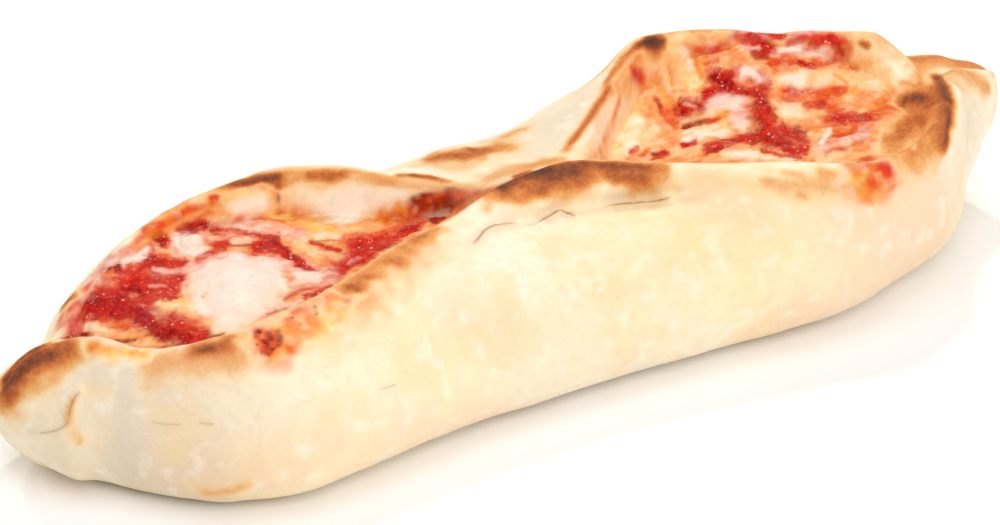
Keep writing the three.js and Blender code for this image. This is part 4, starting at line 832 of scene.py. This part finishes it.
def filling(name, x0, x1, strokes, seed):
    n = int((x1 - x0) / 0.27); m = 172
    X = np.linspace(x0, x1, n); a, b = rim_near_y(X) + 0.6, rim_far_y(X) - 0.6
    T = np.linspace(0, 1, m)
    Y = a[:, None] + (b - a)[:, None] * T; XX = np.repeat(X[:, None], m, 1)
    P = np.stack([XX, Y, fill_level(XX, Y)], -1); flat = P.reshape(-1, 3)
    state = surface_state(flat, strokes, seed)
    Z = P[..., 2] + pulp_height(flat, state, seed).reshape(n, m)
    wall = wall_height(flat[:: 1]).reshape(n, m)
    high = np.maximum(wall - Z, 0)
    soft = smooth_rows(wall, 4, False)
    slope = np.sqrt(1 + (np.gradient(soft, axis=0) / (X[1] - X[0])) ** 2 + (np.gradient(soft, axis=1) / np.gradient(Y, axis=1)) ** 2)
    film = 0.22 + 0.2 * fbm(flat, 2.6, 2, seed + 70).reshape(n, m) - 0.24 * high - 2.4 * step(97, 106, P[..., 0]) - 2.4 * (1 - step(-119, -112, P[..., 0])) - 1.8 * (1 - step(3.5, 7.0, (b - a)[:, None] * (1 - T)))
    Z = smooth_max(Z, wall + film * np.minimum(slope, 4.0), 2.4)
    Z = np.where(high > 3.5, np.minimum(Z, wall - 0.8), Z)
    P[..., 2] = Z
    top = P.reshape(-1, 3)
    state = surface_state(top, strokes, seed)
    near_ends = [k for k in S if k[0] in TOAST and min(q[0] for q in k[3]) > 84]
    wob = 0.34 * np.stack([fbm(top, 6.0, 2, 11 + k) for k in range(3)], -1) + 0.22 * np.stack([fbm(top, 3.0, 1, 21 + k) for k in range(3)], -1)
    lay(top, state, near_ends, wob, fbm(top, 2.8, 2, 91), fbm(top, 2.6, 1, 95))
    # skirt and underside close the body inside the dough
    ring = np.concatenate([np.arange(m), np.arange(1, n - 1) * m + m - 1, (n - 1) * m + np.arange(m)[::-1], np.arange(n - 2, 0, -1) * m])
    low = top[ring].copy(); low[:, 2] = np.minimum(low[:, 2] - 3.0, 30.0)
    mid = np.array([[X.mean(), 0.5 * (a[n // 2] + b[n // 2]), low[:, 2].min() - 4]])
    verts = np.concatenate([top, low, mid])
    I, J = np.meshgrid(np.arange(n - 1), np.arange(m - 1), indexing="ij")
    quads = np.stack([I * m + J, (I + 1) * m + J, (I + 1) * m + J + 1, I * m + J + 1], -1).reshape(-1, 4)
    k = np.arange(len(ring)); k1 = (k + 1) % len(ring); N = len(top)
    side = np.stack([ring[k], ring[k1], N + k1, N + k], -1)
    fan = np.stack([N + k, N + k1, np.full(len(ring), N + len(ring))], -1)
    full = [np.concatenate([s, s[ring], s[:1]]) for s in state]
    return make_mesh(name, verts, np.concatenate([quads, side]), fan, full)


def pulp_height(P, state, seed):
    d1, d2, c = cells(P, 3.0, seed + 40)
    e1, e2, _ = cells(P, 1.25, seed + 50)
    pulp = state[3]; cheese = state[4]
    lumps = (1 - d1) * 0.85 + (1 - e1) * 0.42
    h = pulp * (lumps - 0.35) * 1.45 + 0.8 * cheese * (1 - pulp) + 0.25 * fbm(P, 7, 2, seed + 60) + 0.12 * (1 - 0.85 * cheese) * fbm(P, 2.2, 2, seed + 61)
    return h


fill_left = filling("filling_left_wet", -120.0, -7.0, L, 100)
fill_right = filling("filling_right_wet", 18.0, 111.0, R, 200)


def lump(name, cx, cy, a, b, turn, height, uneven, seed, strokes):
    """A soft lump sunk a little into the filling."""
    around, out = 140, 44
    t = np.linspace(0, 2 * np.pi, around, endpoint=False)
    w = 1 + uneven * (0.5 * np.sin(2 * t + seed) + 0.35 * np.sin(3 * t + 2.1 * seed) + 0.25 * np.sin(5 * t + 0.7 * seed))
    r = np.linspace(0, 1, out + 1)[1:] ** 0.85
    c, s = math.cos(math.radians(turn)), math.sin(math.radians(turn))
    U = a * 1.04 * w * np.cos(t) * r[:, None]; V = b * 1.04 * w * np.sin(t) * r[:, None]
    X = cx + U * c - V * s; Y = cy + U * s + V * c
    top = np.stack([X, Y, fill_level(X, Y)], -1).reshape(-1, 3)
    top = np.concatenate([[[cx, cy, float(fill_level(np.array(cx), np.array(cy)))]], top])
    rr = np.concatenate([[0.0], np.repeat(r, around)])
    field = 100 if strokes is L else 200
    state = surface_state(top, strokes, field)
    h = pulp_height(top, state, field)
    dome = height * (1 - step(0.15, 1.0, rr)) - 0.5 * step(0.55, 1.0, rr) - 0.7 * step(0.9, 1.0, rr)
    top[:, 2] += dome + h
    state = surface_state(top, strokes, field)
    low = np.array([[cx, cy, top[1 + (out - 1) * around:, 2].min() - 1.5]])
    verts = np.concatenate([top, low])
    quads, tris = [], []
    jj = np.arange(around); j1 = (jj + 1) % around
    for i in range(out - 1):
        quads.append(np.stack([1 + i * around + jj, 1 + (i + 1) * around + jj, 1 + (i + 1) * around + j1, 1 + i * around + j1], -1))
    tris.append(np.stack([np.zeros(around, int), 1 + jj, 1 + j1], -1))
    tris.append(np.stack([np.full(around, len(top)), 1 + (out - 1) * around + j1, 1 + (out - 1) * around + jj], -1))
    full = [np.concatenate([s_, s_[:1]]) for s_ in state]
    return make_mesh(name, verts, np.concatenate(quads), np.concatenate(tris), full)


LUMPS = [
    ("mozzarella_left", -77.5, -2.5, 16.5, 12.5, 62, 2.4, 0.12, 1.3, L), ("mozzarella_left_small", -77.5, 20.5, 5.4, 4.4, 50, 1.8, 0.15, 2.2, L),
    ("tomato_left", -99.5, -11.5, 6.6, 6.8, -30, 2.2, 0.16, 0.4, L), ("mozzarella_right", 61, 14, 7.4, 5.6, -28, 2.6, 0.14, 3.1, R),
    ("tomato_right", 72, 1.5, 5, 11, -28, 2.8, 0.1, 1.9, R), ("tomato_right_small", 71.5, 20.5, 4, 4.3, 10, 1.1, 0.16, 5.2, R),
]
lump_obs = {}
for spec in LUMPS:
    lump_obs[spec[0]] = lump(spec[0] + "_melted", *spec[1:])

# ---------------------------------------------------------------------------
# Materials
# ---------------------------------------------------------------------------


class Tree:
    def __init__(self, name):
        self.mat = bpy.data.materials.new(name); self.mat.use_nodes = True
        self.nt = self.mat.node_tree; self.nt.nodes.clear()

    def node(self, kind, **kw):
        n = self.nt.nodes.new(kind)
        for k, v in kw.items():
            setattr(n, k, v)
        return n

    def link(self, a, b):
        self.nt.links.new(a, b)

    def value(self, v, sock):
        if hasattr(v, "is_output") or isinstance(v, bpy.types.NodeSocket):
            self.link(v, sock)
        else:
            sock.default_value = v

    def math(self, op, a, b=0.0, clamp=False):
        n = self.node("ShaderNodeMath", operation=op, use_clamp=clamp)
        self.value(a, n.inputs[0]); self.value(b, n.inputs[1])
        return n.outputs[0]

    def ramp(self, v, a, b):
        n = self.node("ShaderNodeMapRange", clamp=True, interpolation_type="SMOOTHSTEP")
        self.value(v, n.inputs["Value"]); n.inputs["From Min"].default_value = a; n.inputs["From Max"].default_value = b
        return n.outputs["Result"]

    def mix(self, fac, a, b, mode="MIX"):
        n = self.node("ShaderNodeMix", data_type="RGBA", blend_type=mode)
        self.value(fac, n.inputs[0])
        for v, sock in ((a, n.inputs[6]), (b, n.inputs[7])):
            if isinstance(v, bpy.types.NodeSocket):
                self.link(v, sock)
            else:
                sock.default_value = tuple(v) + (1.0,) if len(v) == 3 else v
        return n.outputs[2]

    def noise(self, coords, size, detail=3.0, rough=0.55, distort=0.0):
        n = self.node("ShaderNodeTexNoise")
        self.link(coords, n.inputs["Vector"])
        n.inputs["Scale"].default_value = 1000.0 / size
        n.inputs["Detail"].default_value = detail; n.inputs["Roughness"].default_value = rough
        n.inputs["Distortion"].default_value = distort
        return n.outputs["Fac"]

    def voronoi(self, coords, size, feature="F1", out="Distance", smooth=None):
        n = self.node("ShaderNodeTexVoronoi", feature=feature)
        self.link(coords, n.inputs["Vector"]); n.inputs["Scale"].default_value = 1000.0 / size
        if smooth is not None and "Smoothness" in n.inputs:
            n.inputs["Smoothness"].default_value = smooth
        return n.outputs[out]

    def bump(self, height, dist, strength=1.0, normal=None):
        n = self.node("ShaderNodeBump")
        n.inputs["Strength"].default_value = strength; n.inputs["Distance"].default_value = dist * MM
        self.link(height, n.inputs["Height"])
        if normal is not None:
            self.link(normal, n.inputs["Normal"])
        return n.outputs["Normal"]


def food_material(name, dough):
    t = Tree(name)
    at = t.node("ShaderNodeAttribute", attribute_name="Col")
    kind = t.node("ShaderNodeAttribute", attribute_name="Kind")
    floury = t.node("ShaderNodeAttribute", attribute_name="Floury").outputs["Fac"]
    sep = t.node("ShaderNodeSeparateColor"); t.link(kind.outputs["Color"], sep.inputs[0])
    toast, wet, pulp = sep.outputs[0], sep.outputs[1], sep.outputs[2]
    cheese = kind.outputs["Alpha"]
    co = t.node("ShaderNodeTexCoord").outputs["Object"]
    fine = t.noise(co, 0.6, 1.0, 0.65)
    grain = t.noise(co, 1.5, 2.0, 0.6)
    patch = t.noise(co, 5.0, 2.0, 0.55)
    broad = t.noise(co, 17.0, 2.0, 0.5)
    col = at.outputs["Color"]
    # dough: soft warm and pale patches under the toasting
    clean = t.math("SUBTRACT", 1.0, t.math("MAXIMUM", wet, pulp), True)
    warm = t.math("MULTIPLY", t.ramp(broad, 0.50, 0.68), t.math("MULTIPLY", clean, 0.45))
    col = t.mix(warm, col, tuple(lin((252, 216, 160))))
    pale = t.math("MULTIPLY", t.ramp(patch, 0.52, 0.70), t.math("MULTIPLY", clean, 0.42))
    col = t.mix(pale, col, tuple(lin((253, 243, 226))))
    if dough:
        speck = t.noise(co, 2.6, 2.0, 0.7)
        dull = t.math("MULTIPLY", t.math("SUBTRACT", 1.0, t.ramp(speck, 0.34, 0.50)), t.math("MULTIPLY", clean, 0.22))
        col = t.mix(dull, col, tuple(lin((226, 204, 172))))
    # toasting: the level, broken up by noise, read through one ramp of browns
    window = t.math("ADD", t.math("MULTIPLY", t.math("MULTIPLY", t.math("MULTIPLY", toast, toast), t.math("SUBTRACT", 1.0, toast)), 1.6), t.math("MULTIPLY", toast, 0.12))
    rough = t.math("ADD", t.math("MULTIPLY", t.math("SUBTRACT", grain, 0.5), 0.75), t.math("MULTIPLY", t.math("SUBTRACT", fine, 0.5), 0.55))
    level = t.math("ADD", toast, t.math("MULTIPLY", rough, window), True)
    cr = t.node("ShaderNodeValToRGB"); cr.color_ramp.interpolation = "LINEAR"
    stops = ((0.0, (249, 222, 174)), (0.22, (243, 200, 140)), (0.42, (228, 156, 88)), (0.58, (204, 116, 58)), (0.72, (162, 86, 46)), (0.86, (112, 64, 44)), (1.0, (60, 42, 38)))
    while len(cr.color_ramp.elements) < len(stops):
        cr.color_ramp.elements.new(0.5)
    for e, (at_, c) in zip(cr.color_ramp.elements, stops):
        e.position = at_; e.color = tuple(lin(c)) + (1.0,)
    t.link(level, cr.inputs[0])
    col = t.mix(t.ramp(level, 0.0, 0.40), col, cr.outputs[0])
    dust = t.math("MULTIPLY", t.math("MULTIPLY", t.ramp(grain, 0.38, 0.62), floury), 0.55)
    col = t.mix(dust, col, tuple(lin((226, 184, 156))))
    if dough:
        # painted shade in thin folds: a brown core line and a soft tan halo beside it
        near_fold = t.node("ShaderNodeAttribute", attribute_name="crease").outputs["Fac"]
        fold_shade = t.node("ShaderNodeAttribute", attribute_name="crease_dark").outputs["Fac"]
        away = t.math("ABSOLUTE", near_fold)
        core = t.math("MULTIPLY", t.math("SUBTRACT", 1.0, t.ramp(away, 0.35, 1.5)), fold_shade)
        halo = t.math("MULTIPLY", t.math("MULTIPLY", t.math("SUBTRACT", 1.0, t.ramp(away, 0.8, 7.5)), fold_shade), 0.42)
        col = t.mix(halo, col, tuple(lin((208, 168, 120))))
        col = t.mix(t.math("MULTIPLY", core, 0.78), col, tuple(lin((150, 92, 44))))
    # pulp: seeds and fibres, and painted highlights (pale glints)
    cell = t.voronoi(co, 1.6)
    pl = t.math("MULTIPLY", t.ramp(cell, 0.30, 0.62), t.math("MULTIPLY", pulp, 0.22))
    col = t.mix(pl, col, tuple(lin((226, 44, 14))))
    pd = t.math("MULTIPLY", t.ramp(patch, 0.5, 0.68), t.math("MULTIPLY", pulp, 0.45))
    col = t.mix(pd, col, tuple(lin((140, 8, 6))))
    # painted highlight: pale pink glints on the pulp
    glint = t.math("MULTIPLY", t.math("SUBTRACT", 1.0, t.ramp(t.voronoi(co, 1.7), 0.09, 0.27)), t.math("MULTIPLY", t.ramp(grain, 0.46, 0.58), t.ramp(pulp, 0.5, 0.9)))
    col = t.mix(t.math("MULTIPLY", glint, 0.8), col, tuple(lin((255, 206, 184))))
    # melted cheese: orange oil in its hollows
    co1 = t.math("MULTIPLY", t.ramp(grain, 0.54, 0.72), t.math("MULTIPLY", cheese, 0.16))
    col = t.mix(co1, col, tuple(lin((240, 170, 110))))
    r = t.math("SUBTRACT", t.math("SUBTRACT", 0.66, t.math("MULTIPLY", wet, 0.42)), t.math("MULTIPLY", pulp, 0.10))
    r = t.math("ADD", r, t.math("MULTIPLY", t.math("SUBTRACT", grain, 0.5), 0.3), True)
    hgt = t.math("ADD", t.math("MULTIPLY", fine, 0.45), t.math("MULTIPLY", grain, 0.55))
    n1 = t.bump(t.math("MULTIPLY", hgt, t.math("SUBTRACT", 1.0, t.math("MULTIPLY", cheese, 0.7))), 0.18, 1.0)
    n2 = t.bump(t.math("MULTIPLY", t.math("SUBTRACT", 1.0, cell), pulp), 0.6, 1.0, n1)
    n3 = t.bump(t.math("MULTIPLY", patch, t.math("ADD", t.math("MULTIPLY", toast, 0.5), t.math("MULTIPLY", clean, 0.5))), 0.45, 0.8, n2)
    b = t.node("ShaderNodeBsdfPrincipled")
    t.link(col, b.inputs["Base Color"]); t.link(r, b.inputs["Roughness"]); t.link(n3, b.inputs["Normal"])
    b.inputs["IOR"].default_value = 1.4
    b.inputs["Specular IOR Level"].default_value = 0.20 if dough else 0.18
    b.inputs["Subsurface Weight"].default_value = 0.15 if dough else 0.12
    b.inputs["Subsurface Radius"].default_value = (1.0, 0.45, 0.22)
    b.inputs["Subsurface Scale"].default_value = 0.0018
    out = t.node("ShaderNodeOutputMaterial"); t.link(b.outputs[0], out.inputs[0])
    return t.mat


crust_mat = food_material("baked_dough", True)
wet_mat = food_material("wet_filling", False)
cheese_mat = food_material("melted_mozzarella", False)
tomato_mat = food_material("tomato_pulp", False)

crust_ob.data.materials.append(crust_mat)
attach(crust_ob, "root"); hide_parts("crust")
for ob, node in ((fill_left, "filling_left"), (fill_right, "filling_right")):
    ob.data.materials.append(wet_mat)
    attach(ob, "root"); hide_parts(node)
for node, ob in lump_obs.items():
    tomato = node.startswith("tomato")
    ob.data.materials.append(tomato_mat if tomato else cheese_mat)
    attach(ob, "root"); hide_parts(node)

# ---------------------------------------------------------------------------
# Floor, light and camera
# ---------------------------------------------------------------------------
me = bpy.data.meshes.new("floor")
me.from_pydata([(-4, -4, 0), (4, -4, 0), (4, 4, 0), (-4, 4, 0)], [], [(0, 1, 2, 3)])
floor = bpy.data.objects.new("floor", me); bpy.context.scene.collection.objects.link(floor)
t = Tree("plain_floor")
b = t.node("ShaderNodeBsdfPrincipled")
b.inputs["Base Color"].default_value = (0.98, 0.98, 0.98, 1); b.inputs["Roughness"].default_value = 0.9
b.inputs["Specular IOR Level"].default_value = 0.1
o = t.node("ShaderNodeOutputMaterial"); t.link(b.outputs[0], o.inputs[0])
me.materials.append(t.mat)

world = bpy.data.worlds.new("studio"); bpy.context.scene.world = world
world.use_nodes = True
bg = world.node_tree.nodes.get("Background") or world.node_tree.nodes.new("ShaderNodeBackground")
bg.inputs["Color"].default_value = (1.0, 1.0, 1.0, 1); bg.inputs["Strength"].default_value = 0.33
if not any(n.type == "OUTPUT_WORLD" for n in world.node_tree.nodes):
    w = world.node_tree.nodes.new("ShaderNodeOutputWorld"); world.node_tree.links.new(bg.outputs[0], w.inputs[0])


def area(name, place, size, power, color=(1, 1, 1)):
    d = bpy.data.lights.new(name, "AREA"); d.shape = "RECTANGLE"; d.size, d.size_y = size
    d.energy = power; d.color = color
    ob = bpy.data.objects.new(name, d); bpy.context.scene.collection.objects.link(ob)
    ob.location = place
    ob.rotation_euler = (Vector((0, 0, 0.02)) - Vector(place)).to_track_quat("-Z", "Y").to_euler()
    return ob


area("key", (-0.3, -0.9, 0.95), (0.7, 0.7), 5.5, (1.0, 0.99, 0.97))
area("front", (0.45, -1.0, 0.5), (0.9, 0.6), 3.3)
area("top", (-0.2, -0.1, 1.3), (0.8, 0.8), 4.2)
area("back", (-0.75, 0.95, 0.42), (0.9, 0.5), 3.0)
area("right", (1.2, -0.3, 0.4), (0.6, 0.6), 1.9)
area("sparkle", (0.35, 0.5, 0.8), (0.08, 0.08), 2.2)
area("sparkle_side", (-0.15, 0.75, 0.8), (0.07, 0.07), 1.4)

cam = bpy.data.cameras.new("camera"); cam.sensor_width = 36.0; cam.lens = 36.0 * FOCAL / 1000.0
cam.clip_start = 0.05; cam.clip_end = 50
cam_ob = bpy.data.objects.new("camera", cam); bpy.context.scene.collection.objects.link(cam_ob)
M = Matrix(((RIGHT[0], UP[0], BACK[0]), (RIGHT[1], UP[1], BACK[1]), (RIGHT[2], UP[2], BACK[2]))).to_4x4()
M.translation = Vector((EYE - MIDDLE) * MM)
cam_ob.matrix_world = M
bpy.context.scene.camera = cam_ob
bpy.context.scene.view_settings.view_transform = "Standard"
bpy.context.scene.view_settings.look = "None"
